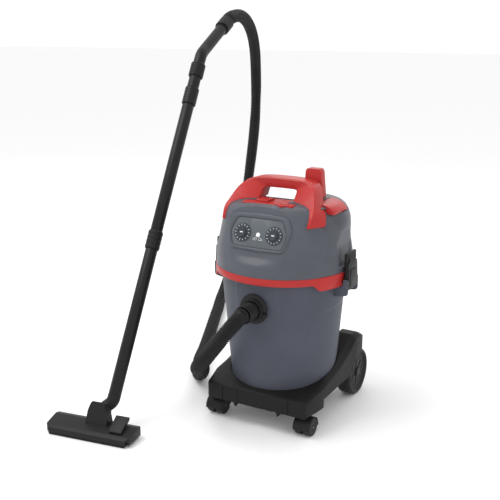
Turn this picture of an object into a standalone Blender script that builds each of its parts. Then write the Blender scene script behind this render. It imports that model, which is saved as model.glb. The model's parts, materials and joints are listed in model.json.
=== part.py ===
"""A wet and dry shop vacuum: wheeled dolly, tub, lift-off motor head, hose, bent hand tube, wand and floor nozzle.

Units are metres, +Z is up and the control panel faces -Y. The machine is built about the tub's axis, and one
parent empty then puts the origin under the middle of the whole object, at floor level.
"""

import math

import bmesh
import bpy
from mathutils import Matrix, Vector

# ---- driving dimensions ----------------------------------------------------------------------------------------
MACHINE_AT = (0.1423, 0.0472, 0.0)   # tub axis, seen from the middle of the object's box on the floor
GAP = 0.0003                          # running gap between neighbouring pieces

BAND_RADIUS = 0.190                   # red rim band, the widest round of the machine
BAND_BOTTOM = 0.4162
BAND_HEIGHT = 0.0195
BAND_DROP = 0.017                     # how much deeper the band hangs beside each latch
RIM_RADIUS = 0.1840                   # tub rim flange, hidden inside the band
TUB_FLOOR = 0.0783                    # underside of the tub
TUB_WALL = 0.0035
TUB_OUTSIDE = ((0.1300, 0.0783), (0.1430, 0.0850), (0.1485, 0.1000), (0.1575, 0.2000),
               (0.1660, 0.3100), (0.1735, 0.4100))   # (radius, height), bottom to top

HEAD_BOTTOM = BAND_BOTTOM + BAND_HEIGHT + GAP
HEAD_WALL = 0.0035
HEAD_OUTSIDE = ((0.436, 0.1893), (0.466, 0.1884), (0.482, 0.1862), (0.500, 0.1834), (0.523, 0.1780),
                (0.548, 0.1730), (0.570, 0.1680), (0.586, 0.1630), (0.598, 0.1560), (0.607, 0.1450),
                (0.613, 0.1290), (0.617, 0.1050))   # (height, radius) of the round body
HEAD_FULLNESS = 0.0110                # how much wider the upper body is behind the handle's feet
FACE_AT = 0.1523                      # front face's distance from the axis at FACE_HEIGHT
FACE_HEIGHT = 0.540
FACE_LEAN = 0.3324                    # how far the face leans back for each metre up
FACE_FLAT = 0.070                     # half width of its flat middle
FACE_CURVE = 7.5                      # how quickly it curves back beyond the flat middle
FACE_FOOT = (0.464, 0.488)            # heights between which the face fades into the round body
HEAD_SEGMENTS = 44

HANDLE_TOP = 0.6840
POST_TOP = 0.6960
LATCH_HALF = 0.0300
LATCH_IN = 0.1912
PIVOT = (0.1985, 0.3920)              # (x, z) of the right latch's pin

DOLLY_BOTTOM = 0.060
AXLE = (0.179, 0.0688)                # (y, z) of the rear axle
REAR_WHEEL_RADIUS = 0.0688
REAR_WHEEL_OUT = 0.1625
REAR_WHEEL_WIDTH = 0.0440
CASTER_AT = (0.1368, 0.1347)
CASTER_WHEEL_RADIUS = 0.0250
CASTER_TRAIL = 0.012

TUBE_RADIUS = 0.0175                  # 35 mm suction tube
TUBE_WALL = 0.0012
WAND_FOOT = Vector((-0.335, -0.357, 0.088))
WAND_TOP = Vector((-0.374, 0.108, 0.861))
LOWER_LENGTH = 0.454
UPPER_LENGTH = 0.449
HAND_BEND_AT = 1.018                  # where the hand tube starts to bend, along the wand
HAND_BEND_END = Vector((-0.3880, 0.2200, 0.9990))
HOSE_END = Vector((-0.4030, 0.3723, 1.0762))
HAND_OUT = (HOSE_END - HAND_BEND_END).normalized()    # the way the hand tube points at the hose
AIR_RING_AT = 0.990

HOSE_RADIUS = 0.0210
INLET_HEIGHT = 0.3465
NOZZLE_AT = Vector((-0.3600, -0.4230, 0.0))
NOZZLE_LENGTH = 0.2540
NOZZLE_DEPTH = 0.0740
NOZZLE_TURN = math.radians(8.4)
NECK_PIVOT = (0.0120, 0.0270, 0.0560)

# Route of the hose's centreline, from the connector's mouth to the hand tube's cuff, about the tub's axis:
# out and down at the front, back along the floor, up behind the machine and forward over the top.
HOSE_ROUTE = [Vector(point) for point in (
    (0.000, -0.2353, 0.3465), (-0.003, -0.2560, 0.3410), (-0.034, -0.303, 0.289), (-0.090, -0.298, 0.218), (-0.148, -0.222, 0.163),
    (-0.197, -0.125, 0.119), (-0.250, -0.046, 0.064), (-0.308, 0.027, 0.0220), (-0.361, 0.115, 0.0212),
    (-0.403, 0.212, 0.0212), (-0.448, 0.309, 0.0212), (-0.536, 0.496, 0.0212), (-0.581, 0.592, 0.0212),
    (-0.624, 0.682, 0.0230), (-0.658, 0.779, 0.050), (-0.669, 0.852, 0.125), (-0.661, 0.886, 0.220),
    (-0.645, 0.896, 0.324), (-0.632, 0.907, 0.425), (-0.632, 0.935, 0.524), (-0.644, 0.981, 0.618),
    (-0.661, 1.028, 0.708), (-0.663, 1.038, 0.804), (-0.643, 0.999, 0.896), (-0.609, 0.930, 0.968),
    (-0.574, 0.849, 1.026), (-0.541, 0.762, 1.066), (-0.504, 0.666, 1.088), (-0.467, 0.568, 1.098),
    (-0.434, 0.475, 1.096), (-0.4070, 0.3960, 1.0880), HOSE_END)]


# ---- scene and collections -------------------------------------------------------------------------------------
for old in list(bpy.data.objects):
    bpy.data.objects.remove(old, do_unlink=True)

PIECES = bpy.data.collections.new("shop_vacuum")
CUTTERS = bpy.data.collections.new("shop_vacuum_cutters")
bpy.context.scene.collection.children.link(PIECES)
bpy.context.scene.collection.children.link(CUTTERS)


def material(name, colour, roughness, metallic=0.0):
    made = bpy.data.materials.new(name)
    made.use_nodes = True
    shader = made.node_tree.nodes["Principled BSDF"]
    shader.inputs["Base Color"].default_value = (*colour, 1.0)
    shader.inputs["Roughness"].default_value = roughness
    shader.inputs["Metallic"].default_value = metallic
    return made


GREY = material("tub_grey", (0.085, 0.092, 0.115), 0.45)
HEAD_GREY = material("head_grey", (0.115, 0.122, 0.140), 0.45)
RED = material("signal_red", (0.52, 0.045, 0.035), 0.40)
BLACK = material("black_plastic", (0.018, 0.018, 0.019), 0.50)
RUBBER = material("black_rubber", (0.014, 0.014, 0.014), 0.75)
PANEL = material("panel_grey", (0.135, 0.150, 0.165), 0.50)
WHITE = material("white_lens", (0.85, 0.86, 0.86), 0.25)
STEEL = material("steel", (0.55, 0.55, 0.56), 0.30, 1.0)
CAST = material("cast_aluminium", (0.50, 0.51, 0.52), 0.45, 1.0)
BOARD = material("circuit_board", (0.02, 0.16, 0.06), 0.50)
PAPER = material("filter_paper", (0.72, 0.66, 0.52), 0.90)
BRISTLE = material("bristle", (0.03, 0.03, 0.03), 0.85)


def empty(name, location, parent=None, matrix=None):
    frame = bpy.data.objects.new(name, None)
    PIECES.objects.link(frame)
    frame.parent = parent
    frame.location = location
    if matrix is not None:
        frame.matrix_local = Matrix.Translation(location) @ matrix.to_4x4()
    return frame


MACHINE = empty("machine", MACHINE_AT)


# ---- modelling helpers -----------------------------------------------------------------------------------------
def new_object(name, mesh, finish, parent=MACHINE, location=(0, 0, 0), rotation=(0, 0, 0)):
    obj = bpy.data.objects.new(name, mesh)
    obj.parent = parent
    obj.location = location
    obj.rotation_euler = rotation
    if finish is None:
        CUTTERS.objects.link(obj)
        obj.hide_render = True
        obj.display_type = "WIRE"
    else:
        PIECES.objects.link(obj)
        mesh.materials.append(finish)
    return obj


def smooth(mesh, angle=35):
    mesh.shade_smooth()
    mesh.set_sharp_from_angle(angle=math.radians(angle))


def turned(name, profile, finish, steps=48, closed=False, **place):
    """A profile of (radius, height) turned about local Z. An open profile starts and ends on the axis."""
    mesh = bpy.data.meshes.new(name)
    edges = [(i, i + 1) for i in range(len(profile) - 1)]
    if closed:
        edges.append((len(profile) - 1, 0))
    mesh.from_pydata([(radius, 0, height) for radius, height in profile], edges, [])
    obj = new_object(name, mesh, finish, **place)
    screw = obj.modifiers.new("turn", "SCREW")
    screw.steps = screw.render_steps = steps
    screw.use_merge_vertices = True
    screw.merge_threshold = 0.00001
    screw.use_smooth_shade = True
    return obj


def ring(name, inner, outer, low, high, finish, steps=48, edge=0.0008, **place):
    """A plain ring with small broken edges on its outside."""
    profile = [(inner, high), (outer - edge, high), (outer, high - edge), (outer, low + edge),
               (outer - edge, low), (inner, low)]
    return turned(name, profile, finish, steps, True, **place)


def rod(name, radius, low, high, finish, steps=32, edge=0.0006, **place):
    """A plain round bar along local Z."""
    profile = [(0, high), (radius - edge, high), (radius, high - edge), (radius, low + edge),
               (radius - edge, low), (0, low)]
    return turned(name, profile, finish, steps, **place)


def block(name, low, high, finish, bevel=0.0, segments=2, **place):
    """A box between two corners, with rounded edges."""
    shape = bmesh.new()
    bmesh.ops.create_cube(shape, size=1.0)
    size = [b - a for a, b in zip(low, high)]
    middle = [(a + b) / 2 for a, b in zip(low, high)]
    bmesh.ops.scale(shape, vec=size, verts=shape.verts)
    bmesh.ops.translate(shape, vec=middle, verts=shape.verts)
    mesh = bpy.data.meshes.new(name)
    shape.to_mesh(mesh)
    shape.free()
    obj = new_object(name, mesh, finish, **place)
    if bevel:
        soften(obj, bevel, segments)
    return obj


def soften(obj, width, segments=2, angle=35):
    bevel = obj.modifiers.new("bevel", "BEVEL")
    bevel.width = width
    bevel.segments = segments
    bevel.limit_method = "ANGLE"
    bevel.angle_limit = math.radians(angle)
    return bevel


def as_mesh(curve_object, name, finish, **place):
    """The evaluated curve as a welded mesh object of its own."""
    bpy.context.view_layer.update()
    graph = bpy.context.evaluated_depsgraph_get()
    mesh = bpy.data.meshes.new_from_object(curve_object.evaluated_get(graph))
    mesh.transform(curve_object.matrix_world)
    shape = bmesh.new()
    shape.from_mesh(mesh)
    bmesh.ops.remove_doubles(shape, verts=shape.verts, dist=0.00001)
    bmesh.ops.recalc_face_normals(shape, faces=shape.faces)
    shape.to_mesh(mesh)
    shape.free()
    mesh.materials.clear()
    bpy.data.objects.remove(curve_object, do_unlink=True)
    mesh.name = name
    return new_object(name, mesh, finish, **place)


AXES = {
    "XY": Matrix.Identity(4),
    "XZ": Matrix(((1, 0, 0, 0), (0, 0, -1, 0), (0, 1, 0, 0), (0, 0, 0, 1))),
    "YZ": Matrix(((0, 0, 1, 0), (1, 0, 0, 0), (0, 1, 0, 0), (0, 0, 0, 1))),
}


def prism(name, outline, low, high, plane, finish, **place):
    """A flat outline given in one plane, extruded between two places along that plane's normal."""
    curve = bpy.data.curves.new(name + "_outline", "CURVE")
    curve.dimensions = "2D"
    curve.fill_mode = "BOTH"
    curve.extrude = (high - low) / 2
    spline = curve.splines.new("POLY")
    spline.points.add(len(outline) - 1)
    for point, (across, up) in zip(spline.points, outline):
        point.co = (across, up, 0, 1)
    spline.use_cyclic_u = True
    obj = bpy.data.objects.new(name + "_outline", curve)
    PIECES.objects.link(obj)
    middle = (low + high) / 2
    if plane == "XZ":
        middle = -middle
    obj.matrix_world = AXES[plane] @ Matrix.Translation((0, 0, middle))
    return as_mesh(obj, name, finish, **place)


def pipe(name, points, radius, finish, resolution=4, **place):
    """A round solid along points, as a POLY curve with filled caps made into a mesh."""
    curve = bpy.data.curves.new(name + "_line", "CURVE")
    curve.dimensions = "3D"
    curve.bevel_depth = radius
    curve.bevel_resolution = resolution
    curve.use_fill_caps = True
    spline = curve.splines.new("POLY")
    spline.points.add(len(points) - 1)
    for point, place_at in zip(spline.points, points):
        point.co = (*place_at, 1)
    obj = bpy.data.objects.new(name + "_line", curve)
    PIECES.objects.link(obj)
    return as_mesh(obj, name, finish, **place)


def boolean(obj, other, operation="DIFFERENCE"):
    change = obj.modifiers.new(operation.lower() + "_" + other.name, "BOOLEAN")
    change.operation = operation
    change.object = other
    change.solver = "EXACT"
    return obj


def smooth_line(route, spacing):
    """Points a set distance apart on a Catmull-Rom curve through the route's points, none below the floor's."""
    ends = [2 * route[0] - route[1], *route, 2 * route[-1] - route[-2]]
    fine = []
    for a, b, c, d in zip(ends, ends[1:], ends[2:], ends[3:]):
        for step in range(24):
            t = step / 24
            fine.append(0.5 * (2 * b + (c - a) * t + (2 * a - 5 * b + 4 * c - d) * t * t
                               + (3 * b - a - 3 * c + d) * t ** 3))
    fine.append(route[-1])
    lengths = [0.0]
    for a, b in zip(fine, fine[1:]):
        lengths.append(lengths[-1] + (b - a).length)
    count = round(lengths[-1] / spacing)
    lowest = min(point.z for point in route)
    line = []
    index = 0
    for step in range(count + 1):
        goal = lengths[-1] * step / count
        while index < len(fine) - 2 and lengths[index + 1] < goal:
            index += 1
        share = (goal - lengths[index]) / (lengths[index + 1] - lengths[index])
        line.append(fine[index].lerp(fine[index + 1], share))
        line[-1].z = max(line[-1].z, lowest)
    return line


def bezier_arc(start, lead_out, lead_in, end, count):
    """Points on one cubic curve from start to end, with its two handles."""
    points = []
    for step in range(count + 1):
        t = step / count
        points.append(start * (1 - t) ** 3 + lead_out * 3 * t * (1 - t) ** 2
                      + lead_in * 3 * t * t * (1 - t) + end * t ** 3)
    return points


SIDES = (("left", -1), ("right", 1))


# ---- tub -------------------------------------------------------------------------------------------------------
def make_tub():
    flange_low = 0.4180
    flange_top = 0.4260
    profile = [(RIM_RADIUS, flange_top), (RIM_RADIUS, flange_low), (0.1745, flange_low - 0.002)]
    profile += list(reversed(TUB_OUTSIDE))
    profile += [(0, TUB_FLOOR), (0, TUB_FLOOR + TUB_WALL)]
    profile += [(radius - TUB_WALL, height + (TUB_WALL if height < 0.09 else 0)) for radius, height in TUB_OUTSIDE]
    profile += [(0.1700, flange_top)]
    tub = turned("tub", profile, GREY, 44, True)
    pad = turned("tub_inlet_pad", [(0.1716, 0.4080), (0.1745, 0.4080), (0.1672, 0.3100), (0.1667, 0.3040),
                                   (0.1636, 0.3040)], None, 44, True)
    boolean(pad, prism("tub_pad_outline", [(-0.0640, 0.4150), (-0.0640, 0.3180), (-0.0540, 0.3065), (0.0540, 0.3065),
                                           (0.0640, 0.3180), (0.0640, 0.4150)], -0.20, -0.10, "XZ", None), "INTERSECT")
    boolean(pad, rod("tub_inlet_boss", 0.0425, -0.0131, 0.0, None, 30, location=(0, -0.1735, INLET_HEIGHT),
                     rotation=(math.radians(90), 0, 0)), "UNION")
    boolean(tub, pad, "UNION")
    boolean(tub, rod("tub_inlet_hole", 0.0245, -0.05, 0.05, None, 28, location=(0, -0.165, INLET_HEIGHT),
                     rotation=(math.radians(90), 0, 0)))
    for side, sign in SIDES:
        for end, y in (("front", -1), ("rear", 1)):
            low_y, high_y = sorted((y * (LATCH_HALF + 0.0012), y * (LATCH_HALF + 0.0062)))
            ear = prism("tub_ear_" + side + "_" + end, [
                (sign * 0.1680, 0.368), (sign * 0.2030, 0.374), (sign * 0.2060, 0.380), (sign * 0.2060, 0.414),
                (sign * 0.2035, 0.418), (sign * 0.1918, 0.418), (sign * 0.1918, 0.398), (sign * 0.1680, 0.398),
            ], low_y, high_y, "XZ", None)
            boolean(tub, ear, "UNION")
        boolean(tub, rod("tub_pin_hole_" + side, 0.0022, -0.05, 0.05, None, 12,
                         location=(sign * PIVOT[0], 0, PIVOT[1]), rotation=(math.radians(90), 0, 0)))


def make_latches():
    for side, sign in SIDES:
        hinge = empty("latch_axis_" + side, (sign * PIVOT[0], 0, PIVOT[1]), MACHINE)
        outline = [(-0.0068, 0.096), (-0.0068, 0.062), (-0.0040, 0.050), (-0.0060, 0.030), (-0.0060, 0.004),
                   (-0.0030, -0.0065), (0.0030, -0.0075), (0.0072, -0.0030), (0.0080, 0.030), (0.0062, 0.062),
                   (0.0020, 0.096)]
        latch = prism("latch_" + side, [(sign * x, z) for x, z in outline], -LATCH_HALF, LATCH_HALF, "XZ",
                      BLACK, parent=hinge)
        boolean(latch, rod("latch_bore_" + side, 0.0022, -0.05, 0.05, None, 12, parent=hinge,
                           rotation=(math.radians(90), 0, 0)))
        rod("latch_pin_" + side, 0.0019, -LATCH_HALF - 0.0058, LATCH_HALF + 0.0058, STEEL, 12, 0.0003,
            location=(sign * PIVOT[0], 0, PIVOT[1]), rotation=(math.radians(90), 0, 0))


FORWARD = (math.radians(90), 0, 0)    # turns local Z to face the front, -Y


def make_inlet():
    mouth = (0, -0.1735, INLET_HEIGHT)
    ring("inlet_seal", 0.0252, 0.0290, GAP, 0.0015, RUBBER, 32, 0.0002, location=mouth, rotation=FORWARD)
    flange = turned("inlet_flange", [(0.0250, 0.0018), (0.0250, 0.0180), (0.0300, 0.0180), (0.0312, 0.0168),
                                     (0.0312, 0.0082), (0.0330, 0.0070), (0.0395, 0.0062), (0.0410, 0.0048),
                                     (0.0410, 0.0003), (0.0294, 0.0003), (0.0294, 0.0018)], BLACK, 28, True,
                    location=mouth, rotation=FORWARD)
    boolean(flange, block("catch_slot", (0.0322, -0.0125, -0.01), (0.0394, -0.0045, 0.03), None,
                          location=mouth, rotation=FORWARD))
    block("flange_catch", (0.0326, -0.0121, 0.0026), (0.0390, -0.0049, 0.0100), BLACK, 0.0008, 1,
          location=mouth, rotation=FORWARD)
    turned("hose_connector", [(0.0175, -0.0300), (0.0175, 0.0615), (0.0240, 0.0615), (0.0250, 0.0600),
                              (0.0250, 0.0200), (0.0236, 0.0184), (0.0236, -0.0300)], BLACK, 32, True,
           location=mouth, rotation=FORWARD)
    deflector = block("inlet_deflector", (-0.034, -0.1300, 0.3050), (0.034, -0.1000, 0.3950), BLACK)
    boolean(deflector, block("deflector_hollow", (-0.031, -0.1400, 0.2900), (0.031, -0.1030, 0.3920), None))


def make_hose():
    """The route's line between two short straight ends, which square its faces to the connector and the cuff."""
    line = smooth_line(HOSE_ROUTE, 0.052)
    line.insert(1, line[0] + Vector((0, -1, 0)) * 0.008)
    line.insert(-1, line[-1] + HAND_OUT * 0.008)
    cord = pipe("hose", line, HOSE_RADIUS, RUBBER, 3)
    smooth(cord.data)


# ---- motor head ------------------------------------------------------------------------------------------------
def body_radius(height, along):
    """Radius of the round body, fuller behind; along is the cosine of the angle from the front."""
    rear = HEAD_FULLNESS * ease(0.500, 0.574, height) * (1 - ease(-0.5, 0.5, along))
    for (z0, r0), (z1, r1) in zip(HEAD_OUTSIDE, HEAD_OUTSIDE[1:]):
        if height <= z1:
            return rear + r0 + (r1 - r0) * (height - z0) / (z1 - z0)
    return rear + HEAD_OUTSIDE[-1][1]


def ease(low, high, value):
    t = min(1.0, max(0.0, (value - low) / (high - low)))
    return t * t * (3 - 2 * t)


def face_radius(across, along, height):
    """Where a level ray from the axis meets the control face: flat in the middle, curving back beyond."""
    reach = FACE_AT - FACE_LEAN * (height - FACE_HEIGHT)
    low, high = 0.02, 0.40
    for _ in range(24):
        radius = (low + high) / 2
        beyond = max(0.0, abs(radius * across) - FACE_FLAT)
        if radius * along < reach - FACE_CURVE * beyond * beyond:
            low = radius
        else:
            high = radius
    return low


def head_radius(angle, height):
    """Radius of the head's outside, angle measured from the front: the round body cut by the front face."""
    across, along = math.sin(angle), math.cos(angle)
    round_body = body_radius(height, along)
    if along <= 0.2:
        return round_body
    face = face_radius(across, along, height)
    if face >= round_body:
        return round_body
    return round_body + (face - round_body) * ease(*FACE_FOOT, height)


def head_loft(name, finish, grow=0.0, foot=False):
    """Rings lofted up the head's outside and closed over the top, and under the foot when asked."""
    shape = bmesh.new()
    rings = []
    for height, _ in HEAD_OUTSIDE:
        loop = []
        for step in range(HEAD_SEGMENTS):
            angle = 2 * math.pi * step / HEAD_SEGMENTS
            radius = head_radius(angle, height) + grow
            up = height + grow * ease(0.57, 0.61, height) - (grow + 0.0001 if foot and height < 0.44 else 0)
            loop.append(shape.verts.new((radius * math.sin(angle), -radius * math.cos(angle), up)))
        rings.append(loop)
    for low, high in zip(rings, rings[1:]):
        for step in range(HEAD_SEGMENTS):
            after = (step + 1) % HEAD_SEGMENTS
            shape.faces.new((low[step], low[after], high[after], high[step]))
    top = shape.verts.new((0, 0, HEAD_OUTSIDE[-1][0] + 0.001 + grow))
    for step in range(HEAD_SEGMENTS):
        shape.faces.new((rings[-1][step], rings[-1][(step + 1) % HEAD_SEGMENTS], top))
    if foot:
        bottom = shape.verts.new((0, 0, rings[0][0].co.z))
        for step in range(HEAD_SEGMENTS):
            shape.faces.new((rings[0][(step + 1) % HEAD_SEGMENTS], rings[0][step], bottom))
    bmesh.ops.recalc_face_normals(shape, faces=shape.faces)
    mesh = bpy.data.meshes.new(name)
    shape.to_mesh(mesh)
    shape.free()
    smooth(mesh)
    return new_object(name, mesh, finish)


def deck_outline(grow=0.0):
    """Plan outline of the red deck plate: wide at the front, narrow between the handle's legs."""
    return [(-0.074 - grow, -0.108 - grow), (0.074 + grow, -0.108 - grow), (0.074 + grow, -0.080 + grow),
            (0.0440 + grow, -0.072 + grow), (0.0440 + grow, -0.032 + grow), (-0.0440 - grow, -0.032 + grow),
            (-0.0440 - grow, -0.072 + grow), (-0.074 - grow, -0.080 + grow)]


def trough(name, grow=0.0):
    """The room behind the grip: open above a floor that slopes down to the rear, beside the tower's shoulder."""
    right, left, start, step = 0.0430 + grow, -0.108 - grow, -0.0262 - grow, 0.100 - grow
    room = prism(name, [(left, start), (right, start), (right, step), (0.22, step), (0.22, 0.22), (-0.22, 0.22),
                        (-0.22, step), (left, step)], 0.50, 0.66 - 10 * grow, "XY", None)
    above = block(name + "_above", (-0.3, -0.10, 0.0), (0.3, 0.40, 0.30), None,
                  location=(0, -0.0262, 0.5920 - 1.03 * grow), rotation=(-math.atan(0.2587), 0, 0))
    return boolean(room, above, "INTERSECT")


FACE_TURN = math.pi / 2 - math.atan(FACE_LEAN)       # turns local Z to the control face's normal
FACE_FRAME = empty("face_frame", (0, -FACE_AT, FACE_HEIGHT), MACHINE, Matrix.Rotation(FACE_TURN, 3, "X"))
LID_LOW = (0.1100, -0.040, 0.5900)
LID_HIGH = (0.1640, 0.058, 0.6060)


def make_head_shell():
    rim = turned("head_rim", [(0.1720, 0.4357), (BAND_RADIUS - 0.001, 0.4357), (BAND_RADIUS, 0.4347),
                              (BAND_RADIUS, BAND_BOTTOM), (0.1843, BAND_BOTTOM), (0.1843, 0.4290),
                              (0.1720, 0.4290)], RED, 44, True)
    for side, sign in SIDES:
        skirt = ring("rim_skirt_" + side, 0.1848, BAND_RADIUS - 0.0004, BAND_BOTTOM - BAND_DROP, 0.4300, None, 44,
                     0.0004)
        low_x, high_x = sorted((sign * 0.148, sign * 0.20))
        boolean(skirt, block("skirt_limit_" + side, (low_x, -0.116, 0.39), (high_x, 0.116, 0.44), None),
                "INTERSECT")
        boolean(rim, skirt, "UNION")
    ring("head_seal", 0.1740, 0.1830, 0.4263, 0.4287, RUBBER, 36, 0.0003)
    ring("motor_plate", 0.0300, 0.1708, 0.4295, 0.4340, BLACK, 36)
    cover = head_loft("head_cover", HEAD_GREY)
    wall = cover.modifiers.new("wall", "SOLIDIFY")
    wall.thickness = HEAD_WALL
    wall.offset = -1
    wall.use_even_offset = True
    solid = head_loft("head_solid", None, -0.0012, True)
    for side, sign in SIDES:
        low_x, high_x = sorted((sign * 0.1765, sign * 0.2300))
        back_x, front_x = sorted((sign * 0.1730, sign * 0.1765))
        liner = block("recess_liner_" + side, (back_x, -0.044, 0.4460), (front_x, 0.052, 0.5500), None)
        boolean(liner, solid, "INTERSECT")
        boolean(cover, liner, "UNION")
        boolean(cover, block("latch_recess_" + side, (low_x, -0.040, 0.4500), (high_x, 0.048, 0.5460), None))
    liner = trough("trough_liner", 0.0035)
    boolean(liner, solid, "INTERSECT")
    boolean(cover, liner, "UNION")
    boolean(cover, trough("trough_room"))
    skirt = prism("deck_skirt", deck_outline(0.0026), 0.6000, 0.6150, "XY", None)
    boolean(cover, skirt, "UNION")
    boolean(cover, prism("deck_well", deck_outline(0.0006), 0.5950, 0.66, "XY", None))
    boolean(cover, block("lid_notch", [c - 0.0005 for c in LID_LOW],
                         (LID_HIGH[0] + 0.03, LID_HIGH[1] + 0.0005, 0.66), None))
    lid = block("shoulder_lid", LID_LOW, LID_HIGH, RED, 0.003, 2)
    boolean(lid, solid, "INTERSECT")
    deck = prism("top_plate", deck_outline(), 0.6040, 0.6165, "XY", RED)
    boolean(deck, block("catch_bed", (-0.0425, -0.0925, 0.6105), (-0.0055, -0.0425, 0.65), None))
    block("filter_catch", (-0.0420, -0.0920, 0.6108), (-0.0060, -0.0520, 0.6225), RED, 0.0015, 1)
    return solid


def handle_shape(name, finish, limit):
    """One lofted arch with four-cornered sections, from one foot over the grip to the other foot."""
    right = [((0.1270, -0.1230, 0.5650), (0.1560, -0.0740, 0.5650), (0.0900, -0.0300, 0.5650), (0.0940, -0.1000, 0.5650)),
             ((0.1285, -0.1020, 0.5960), (0.1440, -0.0540, 0.5920), (0.0700, -0.0250, 0.5900), (0.0760, -0.0920, 0.5950)),
             ((0.1270, -0.0850, 0.6160), (0.1310, -0.0350, 0.6100), (0.0510, -0.0150, 0.6000), (0.0540, -0.0755, 0.6000)),
             ((0.1140, -0.0600, 0.6450), (0.1180, -0.0120, 0.6400), (0.0490, 0.0000, 0.6250), (0.0510, -0.0500, 0.6250)),
             ((0.1000, -0.0400, 0.6600), (0.1030, 0.0080, 0.6570), (0.0490, 0.0120, 0.6390), (0.0500, -0.0360, 0.6390)),
             ((0.0820, -0.0310, 0.6680), (0.0820, 0.0200, 0.6670), (0.0430, 0.0180, 0.6440), (0.0430, -0.0280, 0.6440)),
             ((0.0400, -0.0300, 0.6720), (0.0400, 0.0200, 0.6720), (0.0200, 0.0180, 0.6450), (0.0200, -0.0280, 0.6450))]
    sections = right + [tuple((-x, y, z) for x, y, z in section) for section in reversed(right)]
    shape = bmesh.new()
    loops = [[shape.verts.new(point) for point in section] for section in sections]
    for one, two in zip(loops, loops[1:]):
        for corner in range(4):
            after = (corner + 1) % 4
            shape.faces.new((one[corner], one[after], two[after], two[corner]))
    shape.faces.new(loops[0])
    shape.faces.new(list(reversed(loops[-1])))
    bmesh.ops.recalc_face_normals(shape, faces=shape.faces)
    mesh = bpy.data.meshes.new(name)
    shape.to_mesh(mesh)
    shape.free()
    handle = new_object(name, mesh, finish)
    soften(handle, 0.0030, 2, 30)
    boolean(handle, limit)
    return handle


def make_head_outside(solid):
    limit = head_loft("head_limit", None, 0.0004, True)
    handle_shape("handle", RED, limit)
    post = prism("hose_rest", [(0.1030, 0.5950), (0.0940, 0.6930), (0.0910, POST_TOP), (0.0520, POST_TOP),
                               (0.0490, 0.6930), (0.0440, 0.5950)], 0.0225, 0.0480, "XZ", RED)
    boolean(post, limit)
    bezel = prism("panel_bezel", [(-0.0795, -0.0390), (0, -0.0430), (0.0795, -0.0390), (0.0925, 0.0160),
                                  (0.0915, 0.0300), (0.0800, 0.0560), (0, 0.0600), (-0.0800, 0.0560),
                                  (-0.0915, 0.0300), (-0.0925, 0.0160)], -0.0080, 0.0045, "XY", HEAD_GREY,
                  parent=FACE_FRAME)
    inner = [(-0.0714, -0.0316), (0.0714, -0.0316), (0.0815, 0.0084), (0.0645, 0.0443), (-0.0645, 0.0443),
             (-0.0815, 0.0084)]
    boolean(bezel, prism("panel_hole", inner, -0.02, 0.02, "XY", None, parent=FACE_FRAME))
    boolean(bezel, limit)
    prism("panel_plate", [(x * 0.993, s * 0.985) for x, s in inner], 0.0008, 0.0024, "XY", PANEL, parent=FACE_FRAME)
    for side, sign in SIDES:
        dial = empty("dial_axis_" + side, (sign * 0.0464, 0.0042, 0), FACE_FRAME)
        turned("dial_" + side, [(0, 0.0125), (0.0110, 0.0125), (0.0122, 0.0115), (0.0126, 0.0052), (0.0232, 0.0046),
                                (0.0245, 0.0038), (0.0245, 0.0027), (0, 0.0027)], BLACK, 32, parent=dial)
    turned("indicator_lens", [(0, 0.0046), (0.0045, 0.0042), (0.0060, 0.0036), (0.0060, 0.0027), (0, 0.0027)],
           WHITE, 20, parent=FACE_FRAME, location=(0, 0.0021, 0))
    block("circuit_board", (-0.060, -0.032, -0.0280), (0.060, 0.036, -0.0264), BOARD, parent=FACE_FRAME)
    grille = block("exhaust_grille", (-0.055, 0.1700, 0.4680), (0.055, 0.1925, 0.5320), BLACK, 0.003, 1)
    boolean(grille, limit)
    turned("cable_gland", [(0, 0.0200), (0.0055, 0.0200), (0.0070, 0.0185), (0.0090, 0.0050), (0.0110, 0.0040),
                           (0.0110, 0.0), (0, 0.0)], BLACK, 20, location=(-0.080, 0.1725, 0.4620),
           rotation=(math.radians(-90), 0, math.radians(24.9)))


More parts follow.
